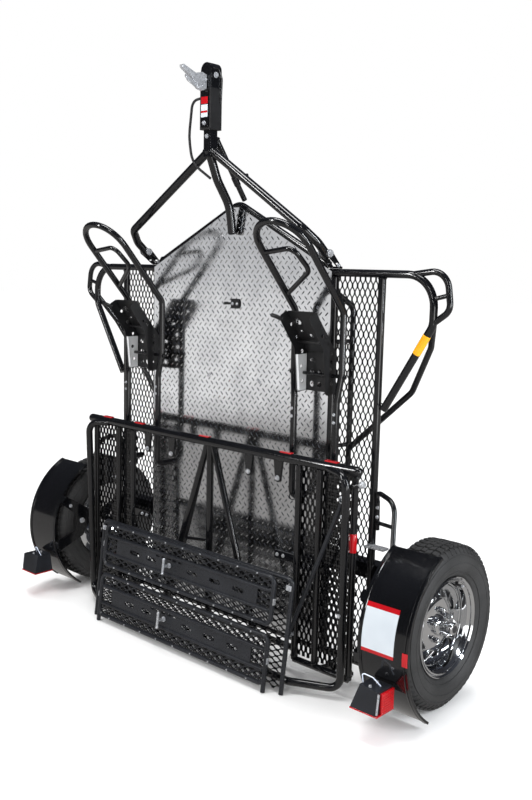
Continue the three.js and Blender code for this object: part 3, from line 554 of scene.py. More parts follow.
for name, s in SIDES.items():
    arm = Piece("swing_arm_smooth_" + name, BLACK)
    outline = [(AXLE_Y - 26, AXLE_Z + 22), (AXLE_Y + 26, AXLE_Z + 22), (AXLE_Y + 26, AXLE_Z - 26),
               (24, WHEEL_R - 24), (-24, WHEEL_R - 24), (-24, WHEEL_R + 24)]
    arm.plate(outline, v(s * ARM_X - 17, 0, 0), v(0, 1, 0), v(0, 0, 1), 34)
    arm.rod(v(s * ARM_X, 0, WHEEL_R), v(s * (WHEEL_X + 30), 0, WHEEL_R), 14, 20)
    arm.make("arm_" + name, "swing_arm_" + name, slot="gloss_black", bevel=4)

    guard = Piece("fender_guard_smooth_" + name, BLACK)
    guard.tube(flip([v(742, RAIL_Y, 700), v(750, -56, 762), v(852, -88, 742), v(886, -142, 586)], s), 9.5, [26, 70])
    guard.rod(v(s * 742, RAIL_Y, 640), v(s * 870, -114, 660), 7.5)
    guard.rod(v(s * 746, RAIL_Y - 4, 726), v(s * 746, RAIL_Y, 612), 9)
    for z in (700, 664):
        guard.hex_bolt(v(s * 750, RAIL_Y - 9, z), v(0, -1, 0), 6, 4)
    guard.box(s * 762 - 42, s * 762 + 42, RAIL_Y - 40, RAIL_Y - 4, 548, 556, ZINC)
    guard.make("front_frame", "fender_guard_" + name, slot="gloss_black")


def arc(radius, start, end, count):
    """Points round the wheel axis in (y, z), angles in degrees from the +Y direction."""
    points = []
    for k in range(count + 1):
        a = math.radians(start + (end - start) * k / count)
        points.append((radius * math.cos(a), WHEEL_R + radius * math.sin(a)))
    return points


def on_arc(radius, degrees, x):
    a = math.radians(degrees)
    return v(x, radius * math.cos(a), WHEEL_R + radius * math.sin(a))


FENDER_START = 116
FENDER_END = 236
STAY_ANGLES = (152, 190)
for name, s in SIDES.items():
    fender = Piece("fender_smooth_" + name, BLACK)
    for radius_in, radius_out, x0, x1 in ((FENDER_R, FENDER_R + 2.5, FENDER_IN, FENDER_OUT),
                                          (FENDER_R - 4, FENDER_R + 5, FENDER_IN, FENDER_IN + 9),
                                          (FENDER_R - 4, FENDER_R + 5, FENDER_OUT - 9, FENDER_OUT)):
        outer_arc = arc(radius_out, FENDER_START, FENDER_END, 48)
        inner_arc = arc(radius_in, FENDER_START, FENDER_END, 48)
        x = x0 if s > 0 else -x1
        fender.plate(outer_arc + list(reversed(inner_arc)), v(x, 0, 0), v(0, 1, 0), v(0, 0, 1), x1 - x0)
    for edge in (FENDER_IN + 13, FENDER_OUT - 13):
        ridge = []
        for k in range(49):
            degrees = FENDER_START + (FENDER_END - FENDER_START) * k / 48
            a = math.radians(degrees)
            ridge.append((on_arc(FENDER_R + 3, degrees, s * edge), v(0, -math.sin(a), math.cos(a))))
        fender.sweep(ridge, circle(3.2, 8), v(1, 0, 0))
    stay_x = FENDER_IN - 20
    outline = [(-288, 478), (-307, 442), (-235, 385), (-235, 300), (-334, 270), (-325, 218), (-190, 270), (-150, 330),
               (-162, 400)]
    fender.plate(outline, v(s * stay_x if s > 0 else -stay_x - 4, 0, 0), v(0, 1, 0), v(0, 0, 1), 4)
    for degrees in STAY_ANGLES:
        a = math.radians(degrees)
        radial = v(0, math.cos(a), math.sin(a))
        along = v(0, -math.sin(a), math.cos(a))
        fender.bar(on_arc(FENDER_R, degrees, s * (FENDER_IN - 20)), on_arc(FENDER_R, degrees, s * (FENDER_IN + 8)),
                   6, 36, radial)
        fender.hex_bolt(on_arc(FENDER_R - 3, degrees, s * (FENDER_IN - 9)) - along * 8, -radial, 6, 4)
    strap_x = 800
    if s > 0:
        fender.box(strap_x, stay_x + 4, -168, -162, 345, 400)
    else:
        fender.box(-stay_x - 4, -strap_x, -168, -162, 345, 400)
    strap = [(-168, 345), (-168, 400), (AXLE_Y - 30.4, AXLE_Z + 24), (AXLE_Y - 30.4, AXLE_Z - 24)]
    fender.plate(strap, v(strap_x if s > 0 else -strap_x - 4, 0, 0), v(0, 1, 0), v(0, 0, 1), 4)
    fender.hex_bolt(v(s * (stay_x - 0.2) if s > 0 else s * stay_x, -196, 345), v(-s, 0, 0), 11, 7)
    fender.hex_bolt(v(s * stay_x, -262, 428), v(-s, 0, 0), 7, 5)
    fender_objects.append(fender.make("front_frame", "fender_" + name, slot="gloss_black", bevel=0.5))


# ------------------------------------------------------------------ fender fittings
def fender_sheet(name, x0, x1, start, end, material, lift=1.4):
    """Thin sheet stuck to the outside of a fender, following its curve."""
    sheet = Piece(name, material)
    outer_arc = arc(FENDER_R + 2.7 + lift, start, end, 16)
    inner_arc = arc(FENDER_R + 2.7, start, end, 16)
    sheet.plate(outer_arc + list(reversed(inner_arc)), v(x0, 0, 0), v(0, 1, 0), v(0, 0, 1), x1 - x0)
    return sheet


panel = fender_sheet("fender_blank_panel", 906, 1040, 157.5, 181.5, WHITE)
for start, end in ((154.6, 157.5), (181.5, 183.6)):
    panel.plate(arc(FENDER_R + 4.1, start, end, 3) + list(reversed(arc(FENDER_R + 2.7, start, end, 3))),
                v(906, 0, 0), v(0, 1, 0), v(0, 0, 1), 134, (), RED)
fender_objects.append(panel.make("front_frame", bevel=0))

marker = fender_sheet("fender_reflector", 1076, 1097, 177, 185, RED, 4.2)
fender_objects.append(marker.make("front_frame", bevel=0.6))

tape = Piece("rail_reflector_tape", RED)
tape.lathe([(13.4, 0), (14, 1), (14, 69), (13.4, 70)], v(REAR_OUTER := 751, REAR_Y, 560), v(0, 0, 1), 24)
tape.make("rear_frame", bevel=0)


# ------------------------------------------------------------------ tail lights
LAMP_X0 = 931
LAMP_X1 = 1035
LAMP_Y0 = -424
LAMP_Y1 = -327
LAMP_Z = 114
LAMP_TOP = 192


def lamp_box(piece, s, grow=0.0, material=None):
    """Wedge-sided housing: its inner and front walls lean in towards the top."""
    low = [v(LAMP_X0, LAMP_Y0, LAMP_Z), v(LAMP_X1, LAMP_Y0, LAMP_Z), v(LAMP_X1, LAMP_Y1, LAMP_Z), v(LAMP_X0, LAMP_Y1, LAMP_Z)]
    top = [v(LAMP_X0 + 18, LAMP_Y0 + 28, LAMP_TOP), v(LAMP_X1, LAMP_Y0 + 11, LAMP_TOP),
           v(LAMP_X1, LAMP_Y1, LAMP_TOP), v(LAMP_X0 + 18, LAMP_Y1, LAMP_TOP)]
    verts = flip(low + top, s)
    faces = [(3, 2, 1, 0), (4, 5, 6, 7), (0, 1, 5, 4), (1, 2, 6, 5), (2, 3, 7, 6), (3, 0, 4, 7)]
    piece.add(verts, faces, material)


for name, s in SIDES.items():
    lamp = Piece("tail_lamp_box_" + name, LAMP)
    lamp_box(lamp, s)
    lamp.tube(flip([v(LAMP_X0 + 19, -378, LAMP_TOP - 2), v(LAMP_X0 + 26, -396, LAMP_TOP + 42),
                    v(LAMP_X0 + 60, -380, LAMP_TOP + 30), v(LAMP_X0 + 80, -360, LAMP_TOP - 2)], s), 2.0, 9, 10, WIRE)
    lamp.bar(v(s * (LAMP_X1 - 1), LAMP_Y0 + 4, LAMP_Z + 4), v(s * (LAMP_X1 - 1), LAMP_Y0 + 13, LAMP_TOP - 4), 14, 4,
             v(1, 0, 0), ZINC)
    for y in (-392, -350):
        lamp.hex_bolt(v(s * (LAMP_X0 + 58), y, LAMP_TOP), v(0, 0, 1), 5, 6)
    lamp.make("front_frame", "tail_light_" + name, slot="lamp_box", bevel=3)

    lens = Piece("tail_lens_smooth_" + name, RED)
    x0, x1 = sorted((s * (LAMP_X0 - 2), s * (LAMP_X1 + 8)))
    lens.box(x0, x1, LAMP_Y0 - 1, LAMP_Y1 + 2, LAMP_Z - 5, LAMP_Z - 0.4)
    x0, x1 = sorted((s * (LAMP_X1 + 0.4), s * (LAMP_X1 + 8)))
    lens.box(x0, x1, LAMP_Y0 + 25, LAMP_Y1, LAMP_Z - 4, LAMP_TOP - 6)
    for z in range(LAMP_Z + 4, LAMP_TOP - 10, 9):
        lens.rod(v(s * (LAMP_X1 + 8), LAMP_Y0 + 28, z), v(s * (LAMP_X1 + 8), LAMP_Y1 - 3, z), 1.5, 8)
    for y in range(LAMP_Y0 + 32, LAMP_Y1, 12):
        lens.rod(v(s * (LAMP_X1 + 8), y, LAMP_Z), v(s * (LAMP_X1 + 8), y, LAMP_TOP - 9), 1.3, 8)
    lens.make("front_frame", "tail_lens_" + name, slot="lens", bevel=1.5)


# ------------------------------------------------------------------ wheels
LUG_CIRCLE = 57.15
LUG_COUNT = 5
WINDOW_COUNT = 10
RIM_PROFILE = [(36, 22), (70, 26), (104, 16), (128, -4), (158, -8), (161, 48), (170, 56), (178, 64), (182, 68), (185, 67),
               (185, 62), (182, 58), (167, 50), (167, -50), (182, -58), (184, -66), (158, -54), (154, -20), (124, -14),
               (100, 8), (36, 14), (36, 22)]
HUB_PROFILE = [(0, 92), (18, 92), (22, 90), (24, 86), (24, 40), (28, 37), (35, 34), (35, 12), (68, 8), (68, -4), (38, -6),
               (38, -40), (0, -40)]
TYRE_PROFILE = [(183, -56), (190, -66), (196, -70), (212, -80), (228, -87), (246, -88.5), (262, -84), (280, -76),
                (288, -69), (294, -58), (296, -40), (296.5, 0), (296, 40), (294, 58), (288, 69), (280, 76), (262, 84),
                (246, 88.5), (228, 87), (212, 80), (196, 70), (190, 66), (183, 56), (183, -56)]
TREAD_PITCHES = 64


def wheel_point(s, radius, degrees, offset):
    a = math.radians(degrees)
    return v(s * (WHEEL_X + offset), radius * math.cos(a), WHEEL_R + radius * math.sin(a))


def tread_block(piece, s, start, end, near, far, depth=6.0, skew=0.0):
    """One tyre block between two angles and two offsets across the tread; skew slants its ends."""
    base = 295.4
    top = base + depth
    verts = []
    for radius in (base, top):
        for offset in (near, far):
            shift = skew * (offset - near) / 30
            inset = 0.35 if radius == top else 0
            verts.append(wheel_point(s, radius, start + shift + inset, offset))
            verts.append(wheel_point(s, radius, end + shift - inset, offset))
    faces = [(0, 1, 3, 2), (4, 6, 7, 5), (0, 4, 5, 1), (2, 3, 7, 6), (0, 2, 6, 4), (1, 5, 7, 3)]
    piece.add(verts, faces)


for name, s in SIDES.items():
    centre = v(s * WHEEL_X, 0, WHEEL_R)
    axis = v(s, 0, 0)
    tyre = Piece("tyre_smooth_" + name, RUBBER)
    tyre.lathe(TYRE_PROFILE, centre, axis, 96)
    for offset in (-1, 1):
        for radius in (206, 268):
            side = 76.5 if radius == 206 else 82
            tyre.ring(centre + axis * (offset * side), axis, radius, 2.2, 72)
        tyre.ring(centre + axis * (offset * 88), axis, 240, 1.3, 72)
    pitch = 360 / TREAD_PITCHES
    for k in range(TREAD_PITCHES):
        start = k * pitch
        for near, far, skew, phase in ((-60, -36, 1.6, 0.0), (-32, -12, -1.4, 0.4), (-9, 9, 0.8, 0.1), (12, 32, -1.4, 0.5),
                                       (36, 60, 1.6, 0.2)):
            a = start + phase * pitch
            tread_block(tyre, s, a + 0.5, a + pitch - 0.6, near, far, 9.0 if abs(near) < 34 and abs(far) < 34 else 7.4, skew)
        for way in (-1, 1):
            mid = start + pitch / 2
            tyre.bar(wheel_point(s, 294, mid, way * 64), wheel_point(s, 276, mid + 0.5, way * 79), 9, 3.2,
                     v(0, -math.sin(math.radians(mid)), math.cos(math.radians(mid))))
    tyre.make("wheel_" + name, "tyre_" + name, slot="tyre", bevel=0, smooth=40)

    rim = Piece("rim_smooth_" + name, CHROME)
    rim.lathe(RIM_PROFILE, centre, axis, 96)
    rim.ring(centre + axis * 62, axis, 171, 3.0, 96)
    rim.ring(centre + axis * 20, axis, 152, 3.0, 96)
    # Each window is a dark wedge of painted shade on the closed disc, standing in for an opening, edged with chrome
    # rods
    for k in range(WINDOW_COUNT):
        degrees = 360 * (k + 0.5) / WINDOW_COUNT + 90
        along = math.radians(degrees)
        tip = wheel_point(s, 144, degrees, 0)
        left = wheel_point(s, 100, degrees - 10, 19.0)
        right = wheel_point(s, 100, degrees + 10, 19.0)
        deep = axis * -14
        verts = [tip, left, right, tip + deep, left + deep, right + deep]
        rim.add(verts, [(0, 1, 2), (3, 5, 4), (0, 3, 4, 1), (1, 4, 5, 2), (2, 5, 3, 0)], SHADOW)
        for a, b in ((tip, left), (left, right), (right, tip)):
            rim.rod(a + axis * 0.5, b + axis * 0.5, 1.6, 8)
    valve = wheel_point(s, 158, 60, 40)
    rim.rod(valve, valve + axis * 26, 4.5, 12, SLEEVE)
    rim.rod(valve + axis * 26, valve + axis * 33, 5.2, 12, ZINC)
    rim.make("wheel_" + name, "rim_" + name, slot="chrome_wheel", bevel=0)

    hub = Piece("hub_smooth_" + name, CHROME)
    hub.lathe(HUB_PROFILE, centre, axis, 48)
    hub.rod(centre + axis * 92, centre + axis * 94, 14, 32, SLEEVE)
    for k in range(LUG_COUNT):
        degrees = 360 * k / LUG_COUNT + 90
        seat = wheel_point(s, LUG_CIRCLE, degrees, 24)
        hub.rod(seat, seat + axis * 20, 10.4, 6)
        hub.lathe([(9, 0), (8, 4), (5, 7), (0, 8)], seat + axis * 20, axis, 20)
        hub.rod(seat, seat + axis * 4, 13, 24)
    hub.make("wheel_" + name, "hub_" + name, slot="chrome_wheel", bevel=0.8)


# ------------------------------------------------------------------ wheel chocks
CHOCK_R = 13
PIN_Y = -120
PIN_Z = 1180
CRADLE_HALF = 72
CRADLE_WALL = 3
HOOP_BENDS = [34, 34, 34, 34, 115.5, 115.5, 34, 34, 34, 34]


def chock(name, centre):
    def at(u, y, z):
        return v(centre + u, y, z)

    foot = 103
    inner_side = -1 if centre > 0 else 1
    ends = {u: DECK_Y - 0.4 if u == inner_side else RAIL_Y - 5.4 for u in (-1, 1)}
    hoop = Piece("chock_hoop_smooth_" + name, BLACK)
    corners = [at(-foot, ends[-1], 690), at(-foot, -130, 690), at(-foot, -130, 1085), at(-CHOCK_HALF, -121, 1190),
               at(-CHOCK_HALF, -121, 1417), at(-CHOCK_HALF, -402, 1733), at(CHOCK_HALF, -402, 1733),
               at(CHOCK_HALF, -121, 1417), at(CHOCK_HALF, -121, 1190), at(foot, -130, 1085), at(foot, -130, 690),
               at(foot, ends[1], 690)]
    hoop.tube(corners, CHOCK_R, HOOP_BENDS, 24)
    hoop.tube([at(-CHOCK_HALF, -306, 1626), at(36, -322, 1644), at(58, -252, 1565), at(-CHOCK_HALF, -172, 1475)], 9.5, 38)
    hoop.rod(at(-CHOCK_HALF + 4, PIN_Y, PIN_Z), at(CHOCK_HALF - 4, PIN_Y, PIN_Z), 7, 16)
    for way in (-1, 1):
        hoop.hex_bolt(at(way * (CHOCK_HALF + 9), PIN_Y, PIN_Z), v(way, 0, 0), 9, 7, BLACK)
        hoop.ring(at(way * foot, -127, 690), v(0, 1, 0), 13.5, 2.2)
        for z in (1010, 1040):
            hoop.hex_bolt(at(way * foot, -143, z), v(0, -1, 0), 5, 4)
    hoop.make("front_frame", "chock_hoop_" + name, slot="gloss_black")

    cradle = Piece("chock_cradle_smooth_" + name, CHARCOAL)
    profile = [(-98, 1112), (-148, 1108), (-160, 1116), (-176, 1276), (-250, 1372), (-262, 1392), (-256, 1402),
               (-226, 1418), (-98, 1262)]
    cheek_holes = [disc(-126, 1150, 8), disc(-134, 1206, 8), disc(-130, 1262, 8), disc(-196, 1366, 7),
                   disc(-165, 1318, 7), disc(PIN_Y, PIN_Z, 7.6)]
    for start in (-CRADLE_HALF, CRADLE_HALF - CRADLE_WALL):
        cradle.plate(profile, at(start, 0, 0), v(0, 1, 0), v(0, 0, 1), CRADLE_WALL, cheek_holes)
    lining = [(-104, 1114), (-152, 1112), (-168, 1252), (-104, 1252)]
    cradle.plate(lining, at(-CRADLE_HALF + CRADLE_WALL, 0, 0), v(0, 1, 0), v(0, 0, 1), 1.2, cheek_holes[:2], BARE)
    cradle.bar(at(-64, -154, 1118), at(-64, -168, 1252), 14, 1.6, v(1, 0, 0), BARE)
    back_holes = [disc(u, z, 11) for u in (-42, -6, 30) for z in (1138, 1184)]
    back_holes += [slot_hole(-42, 1230, 26, 14), slot_hole(30, 1230, 26, 14)]
    cradle.plate([(-69, 1112), (69, 1112), (69, 1262), (-69, 1262)], at(0, -98, 0), v(1, 0, 0), v(0, 0, 1), 3, back_holes)
    slope = v(0, -128, 156).normalized()
    upper_holes = [disc(-38, 150, 15, 24), disc(-44, 104, 6), disc(-6, 84, 9), disc(34, 122, 6), disc(38, 60, 10)]
    cradle.plate([(-69, 0), (69, 0), (69, 196), (62, 202), (-62, 202), (-69, 196)], at(0, -98, 1262), v(1, 0, 0), slope, 3,
                 upper_holes)
    cradle.ring(at(-38, -98, 1262) + slope * 150 + v(0, -2, -1), v(0, -0.77, -0.63), 16.5, 2.4, 28)
    cradle.tube([at(-CRADLE_HALF + 2, -248, 1386), at(-90, -262, 1396), at(-110, -262, 1400)], 8, 10)
    cradle.rod(at(-CRADLE_HALF, -150, 1300), at(CRADLE_HALF, -150, 1300), 4.5, 12)
    for way in (-1, 1):
        for y, z in ((-128, 1232), (-186, 1330)):
            cradle.hex_bolt(at(way * CRADLE_HALF, y, z), v(way, 0, 0), 5.5, 4, BLACK)
    cradle.make("chock_" + name, "chock_cradle_" + name, slot="charcoal_steel", bevel=0.6)


for name, s in SIDES.items():
    chock(name, s * CHOCK_X)


# ------------------------------------------------------------------ tongue
tongue = Piece("tongue_a_smooth", BLACK)
for s in (-1, 1):
    tongue.tube(flip([v(PIN.x, PIN.y + 10, PIN.z - 10), v(PIN.x, -154, 1668), v(478, -204, 1718),
                      v(-6, POST_Y, POST_FOOT_Z)], s), 16.6, [60, 44], 24)
    tongue.ring(v(s * 24, POST_Y + 4, POST_FOOT_Z - 16), v(s * 0.84, 0.13, -0.5), 16.6, 3.0)
    for way in (-1, 1):
        tongue.lathe([(0, 0.2), (15, 0.2), (15, 1.2), (9, 1.4), (0, 1.4)],
                     v(s * PIN.x + way * 16, PIN.y, PIN.z), v(way, 0, 0), 24, ZINC)
tongue.box(-19, 19, POST_Y - 19, POST_Y + 19, POST_FOOT_Z - 34, COUPLER_LOW_Z + 150)
for z in (POST_FOOT_Z + 44, ):
    tongue.hex_bolt(v(0, POST_Y - 19, z), v(0, -1, 0), 7, 5)
tongue.make("tongue", "tongue_a_tube", slot="gloss_black", bevel=2)

for name, s in SIDES.items():
    bracket = Piece("tongue_bracket_smooth_" + name, BLACK)
    base = CROSSBAR_Z + TUBE_R + 0.4
    cheek = [(RAIL_Y + 12, base + 2), (RAIL_Y - 14, base + 2), (PIN.y - 12, PIN.z - 10), (PIN.y - 14, PIN.z - 2),
             (PIN.y - 10, PIN.z + 8), (PIN.y - 2, PIN.z + 12), (PIN.y + 8, PIN.z + 12), (PIN.y + 16, PIN.z + 6)]
    x = s * PIN.x
    for start in (x - 21.6, x + 17.6):
        bracket.plate(cheek, v(start, 0, 0), v(0, 1, 0), v(0, 0, 1), 4, [slot_hole(-62, base + 18, 16, 6)])
    bracket.box(x - 21.6, x + 21.6, RAIL_Y - 10, RAIL_Y + 12, base, base + 8)
    bracket.rod(v(x - 28, PIN.y, PIN.z), v(x + 28, PIN.y, PIN.z), 8, 20, ZINC)
    for way in (-1, 1):
        bracket.hex_bolt(v(x + way * 21.6, PIN.y, PIN.z), v(way, 0, 0), 12, 7)
        bracket.hex_bolt(v(x + way * 21.6, RAIL_Y - 14, base + 12), v(way, 0, 0), 6, 5)
    bracket.make("front_frame", "tongue_bracket_" + name, slot="gloss_black", bevel=1)

def dome(half, low, top, steps=12):
    """Outline of an upright tongue shape with a round top."""
    outline = [(-half, low), (half, low), (half, top - half)]
    outline += [(half * math.cos(math.pi * k / steps), top - half + half * math.sin(math.pi * k / steps))
                for k in range(1, steps)]
    return outline + [(-half, top - half)]


coupler = Piece("coupler_smooth", CHARCOAL)
coupler.box(-30, 30, POST_Y - 30, POST_Y + 30, COUPLER_LOW_Z, COUPLER_TOP_Z - 96)
coupler.plate(dome(29, COUPLER_TOP_Z - 150, COUPLER_TOP_Z), v(0, POST_Y + 28, 0), v(1, 0, 0), v(0, 0, 1), 56, (), BLACK)
coupler.plate(dome(20, COUPLER_LOW_Z + 8, COUPLER_TOP_Z - 96), v(0, POST_Y - 30, 0), v(1, 0, 0), v(0, 0, 1), 5, (), BLACK)
coupler.tube([v(31, POST_Y + 22, COUPLER_TOP_Z - 150), v(31, POST_Y + 26, COUPLER_TOP_Z - 60),
              v(31, POST_Y + 8, COUPLER_TOP_Z - 16), v(31, POST_Y - 22, COUPLER_TOP_Z - 26)], 5, 20, 12, BLACK)
coupler.hex_bolt(v(31, POST_Y - 6, COUPLER_TOP_Z - 48), v(1, 0, 0), 9, 6, ZINC)
coupler.hex_bolt(v(0, POST_Y - 35, COUPLER_LOW_Z + 24), v(0, -1, 0), 7, 5)
coupler.box(-18, 18, POST_Y - 36.4, POST_Y - 35, COUPLER_LOW_Z + 96, COUPLER_LOW_Z + 122, RED)
coupler.box(-18, 18, POST_Y - 36.4, POST_Y - 35, COUPLER_LOW_Z + 46, COUPLER_LOW_Z + 93, WHITE)
coupler.box(-18, 18, POST_Y - 36.8, POST_Y - 36, COUPLER_LOW_Z + 62, COUPLER_LOW_Z + 70, RED)
coupler.make("tongue", "coupler_body", slot="charcoal_steel", bevel=4)

LATCH_Y = POST_Y - 40.4
LATCH_Z = 2296
lever = Piece("coupler_latch_smooth", ZINC)
lever.plate([(-243, 2250), (-243, 2302), (-268, 2308), (-300, 2300), (-362, 2322), (-372, 2318), (-368, 2308),
             (-322, 2282), (-296, 2262), (-290, 2246), (-262, 2240)], v(-9, 0, 0), v(0, 1, 0), v(0, 0, 1), 18)
lever.plate([(-280, 2240), (-262, 2240), (-290, 2268), (-330, 2278), (-346, 2290), (-350, 2282), (-336, 2266),
             (-312, 2256)], v(-4, 0, 0), v(0, 1, 0), v(0, 0, 1), 8)
lever.rod(v(-17, LATCH_Y, LATCH_Z - 14), v(17, LATCH_Y, LATCH_Z - 14), 5, 16)
lever.rod(v(-15, LATCH_Y - 16, LATCH_Z - 40), v(15, LATCH_Y - 16, LATCH_Z - 40), 4, 16)
lever.make("latch", "coupler_latch", slot="zinc", bevel=2)

horn = Piece("horn_smooth", BLACK)
horn.tube([v(0, POST_Y - 8, POST_FOOT_Z - 6), v(0, -172, 1912), v(0, -100, 1815), v(0, -82, 1708)], 17.5, 150, 24)
horn.lathe([(17.5, 0), (13, 5), (0, 7)], v(0, -82, 1708), v(0, 0.166, -0.986), 24)
horn.make("tongue", "horn_tube", slot="gloss_black")

BRACE_TOP = v(0, -181, 2072)
BRACE_FOOT = v(0, -12, 1844)
brace_dir = (BRACE_FOOT - BRACE_TOP).normalized()
brace = Piece("brace_smooth", BLACK)
brace.rod(BRACE_TOP, BRACE_FOOT, 11, 20)
brace.ring(BRACE_TOP + brace_dir * 6, brace_dir, 11.5, 2.4)
brace.rod(BRACE_TOP + brace_dir * 176, BRACE_TOP + brace_dir * 214, 13.4, 20)
brace.make("tongue", "tongue_brace", slot="gloss_black")

grip_at = BRACE_TOP + brace_dir * 195
grip_out = v(0, -brace_dir.z, brace_dir.y)
grip = Piece("brace_handle_smooth", CHARCOAL)
grip.rod(grip_at - grip_out * 9, grip_at + grip_out * 44, 6)
grip.tube([grip_at + grip_out * 44 + v(-26, 0, 0), grip_at + grip_out * 44 + v(26, 0, 0)], 5)
for way in (-1, 1):
    grip.lathe([(5, 0), (7.5, 2), (7.5, 7), (4, 10), (0, 10)], grip_at + grip_out * 44 + v(way * 22, 0, 0), v(way, 0, 0), 16)
grip.make("lock_handle", "brace_handle", slot="charcoal_steel")

cable = Piece("safety_cable_smooth", SLEEVE)
cable_path = [v(-30, -226, 2222), v(-88, -228, 2216), v(-104, -230, 2080), v(-84, -230, 1976), v(-12, -196, 1916)]
cable.tube(cable_path, 5.2, [34, 180, 110], 14)
cable.rod(cable_path[0] + v(-6, 0, 0), cable_path[0] + v(8, 0, 3), 8, 14, BLACK)
cable.make("tongue", "safety_cable", slot="cable")

# ------------------------------------------------------------------ rear frame
bumper = Piece("bumper_smooth", BLACK)
reach = 786
bumper.lathe([(0, -reach), (9, -reach + 2), (15, -reach + 7), (18, -reach + 13), (19, -reach + 20), (19, reach - 20),
              (18, reach - 13), (15, reach - 7), (9, reach - 2), (0, reach)], v(0, BUMPER_Y, BUMPER_Z), v(1, 0, 0), 28)
for middle in (-650, -430, -16, 430, 650):
    bumper.box(middle - 28, middle + 28, BUMPER_Y - 8, BUMPER_Y + 8, BUMPER_Z + 16, BUMPER_Z + 22, RED)
for x in (-384, -228, 228, 384):
    finger = [(x - 24, BUMPER_Z - 8), (x - 14, 775)]
    finger += [(x - 14 * math.cos(math.pi * k / 8), 770 - 14 * math.sin(math.pi * k / 8)) for k in range(9)]
    finger += [(x + 14, 775), (x + 24, BUMPER_Z - 8)]
    bumper.plate(finger, v(0, BUMPER_Y + 14, 0), v(1, 0, 0), v(0, 0, 1), 10)
    bumper.hex_bolt(v(x, BUMPER_Y + 4, 773), v(0, -1, 0), 8, 6)
bumper.make("rear_frame", "bumper_tube", slot="gloss_black", bevel=0.5)

rear_hoop = Piece("rear_hoop_smooth", BLACK)
for s in (-1, 1):
    rear_hoop.tube(flip([v(-2, -312, 42), v(560, -312, 42), v(HOOP_X, HOOP_Y, 42), v(HOOP_X + 8, HOOP_Y - 18, 846),
                         v(640, BUMPER_Y - 6, BUMPER_Z - 6)], s), 15, [46, 46, 50], 24)
for x, z in ((744, 768), (739, 700), (739, 330)):
    rear_hoop.rod(v(x, HOOP_Y - 12, z), v(x, HOOP_Y - 28, z), 8, 6, ZINC)
rear_hoop.rod(v(HOOP_X + 10, HOOP_Y, 806), v(HOOP_X + 52, HOOP_Y + 8, 820), 8, 16)
rear_hoop.lathe([(10, 0), (13, 4), (13, 14), (9, 20), (0, 20)], v(HOOP_X + 50, HOOP_Y + 8, 820), v(1, 0, 0.2).normalized(), 20,
                ZINC)
rear_hoop.make("rear_frame", "rear_hoop_tube", slot="gloss_black")

for name, s in SIDES.items():
    rail = Piece("rear_rails_" + name, BLACK)
    top = BUMPER_Z - 19.4
    for x in (487, 588, 751):
        rail.rod(v(s * x, REAR_Y, LOW_BAR_Z), v(s * x, REAR_Y, top), 13, 20)
        rail.ring(v(s * x, REAR_Y, LOW_BAR_Z + 14), v(0, 0, 1), 13.6, 2.2)
        rail.ring(v(s * x, REAR_Y, top - 3), v(0, 0, 1), 13.6, 2.2)
    rail.rod(v(s * 487, REAR_Y, LOW_BAR_Z), v(s * 751, REAR_Y, LOW_BAR_Z), 13, 20)
    x0, x1 = sorted((s * 374, s * 487))
    rail.box(x0, x1, REAR_Y - 3, REAR_Y + 3, 454, 486)
    for x in (390, 420):
        rail.hex_bolt(v(s * x, REAR_Y - 3, 470), v(0, -1, 0), 6, 4)
    strap = [(REAR_Y, LOW_BAR_Z - 10), (REAR_Y, LOW_BAR_Z + 10), (FOLD_Y + 4, FOLD_Z + 12), (FOLD_Y + 13, FOLD_Z + 4),
             (FOLD_Y + 13, FOLD_Z - 6), (FOLD_Y + 4, FOLD_Z - 12)]
    rail.plate(strap, v(s * HINGE_X - BARREL_HALF, 0, 0), v(0, 1, 0), v(0, 0, 1), 2 * BARREL_HALF,
               [disc(FOLD_Y, FOLD_Z, 8, 24)])
    rail.make("rear_frame", "rear_rail_" + name, slot="gloss_black")

    panel = Piece("rear_expanded_" + name, BLACK)
    x0, x1 = sorted((s * 475, s * 763))
    expanded_metal(panel, x0, x1, 94, 836, REAR_Y + 15, strand=7.2)
    panel.make("rear_frame", "rear_mesh_" + name, slot="expanded_metal", bevel=0)

spine = Piece("rear_spine_smooth", BLACK)
SPINE_Y = -188
spine.rod(v(-473.6, SPINE_Y, 110), v(473.6, SPINE_Y, 110), 13, 20)
spine.rod(v(0, SPINE_Y, 110), v(0, SPINE_Y, BUMPER_Z - 19.4), 15, 20)
spine.rod(v(-166, SPINE_Y, 414), v(0, SPINE_Y, 436), 7)
spine.rod(v(18, SPINE_Y, 846), v(262, SPINE_Y, 112), 14, 20)
wide_leg = [v(-18, SPINE_Y, 846), v(-262, SPINE_Y, 112)]
spine.sweep(bent_path(wide_leg, 0), lambda share: circle(13 + 11 * share, 20))
for s in (-1, 1):
    spine.ring(v(s * 256, SPINE_Y, 130), v(s * 0.3, 0, -0.95), 15 if s > 0 else 24, 2.2)
spine.make("rear_frame", "rear_spine", slot="gloss_black")

rod_piece = Piece("ramp_stay_smooth", SATIN)
rod_piece.rod(v(724, REAR_Y - 38, 748), v(486, REAR_Y - 38, 176), 8)
rod_piece.lathe([(8, 0), (14, 4), (14, 16), (8, 20), (0, 20)], v(728, REAR_Y - 52, 758), v(0, 1, 0), 20, ZINC)
rod_piece.rod(v(486, REAR_Y - 54, 176), v(486, REAR_Y - 8, 176), 7, 16, ZINC)
rod_piece.make("rear_frame", "ramp_stay_rod", slot="gloss_black")

# ------------------------------------------------------------------ ramp rack
LEAN = Matrix.Translation(v(0, RACK_Y, 0)) @ Matrix.Rotation(-RACK_LEAN, 4, "X")
RACK_R = 9


def rack_foot(y):
    """Height in the leaning rack at which a bar standing y outside its plane just meets the ground."""
    return (RACK_R + y) * math.tan(RACK_LEAN)


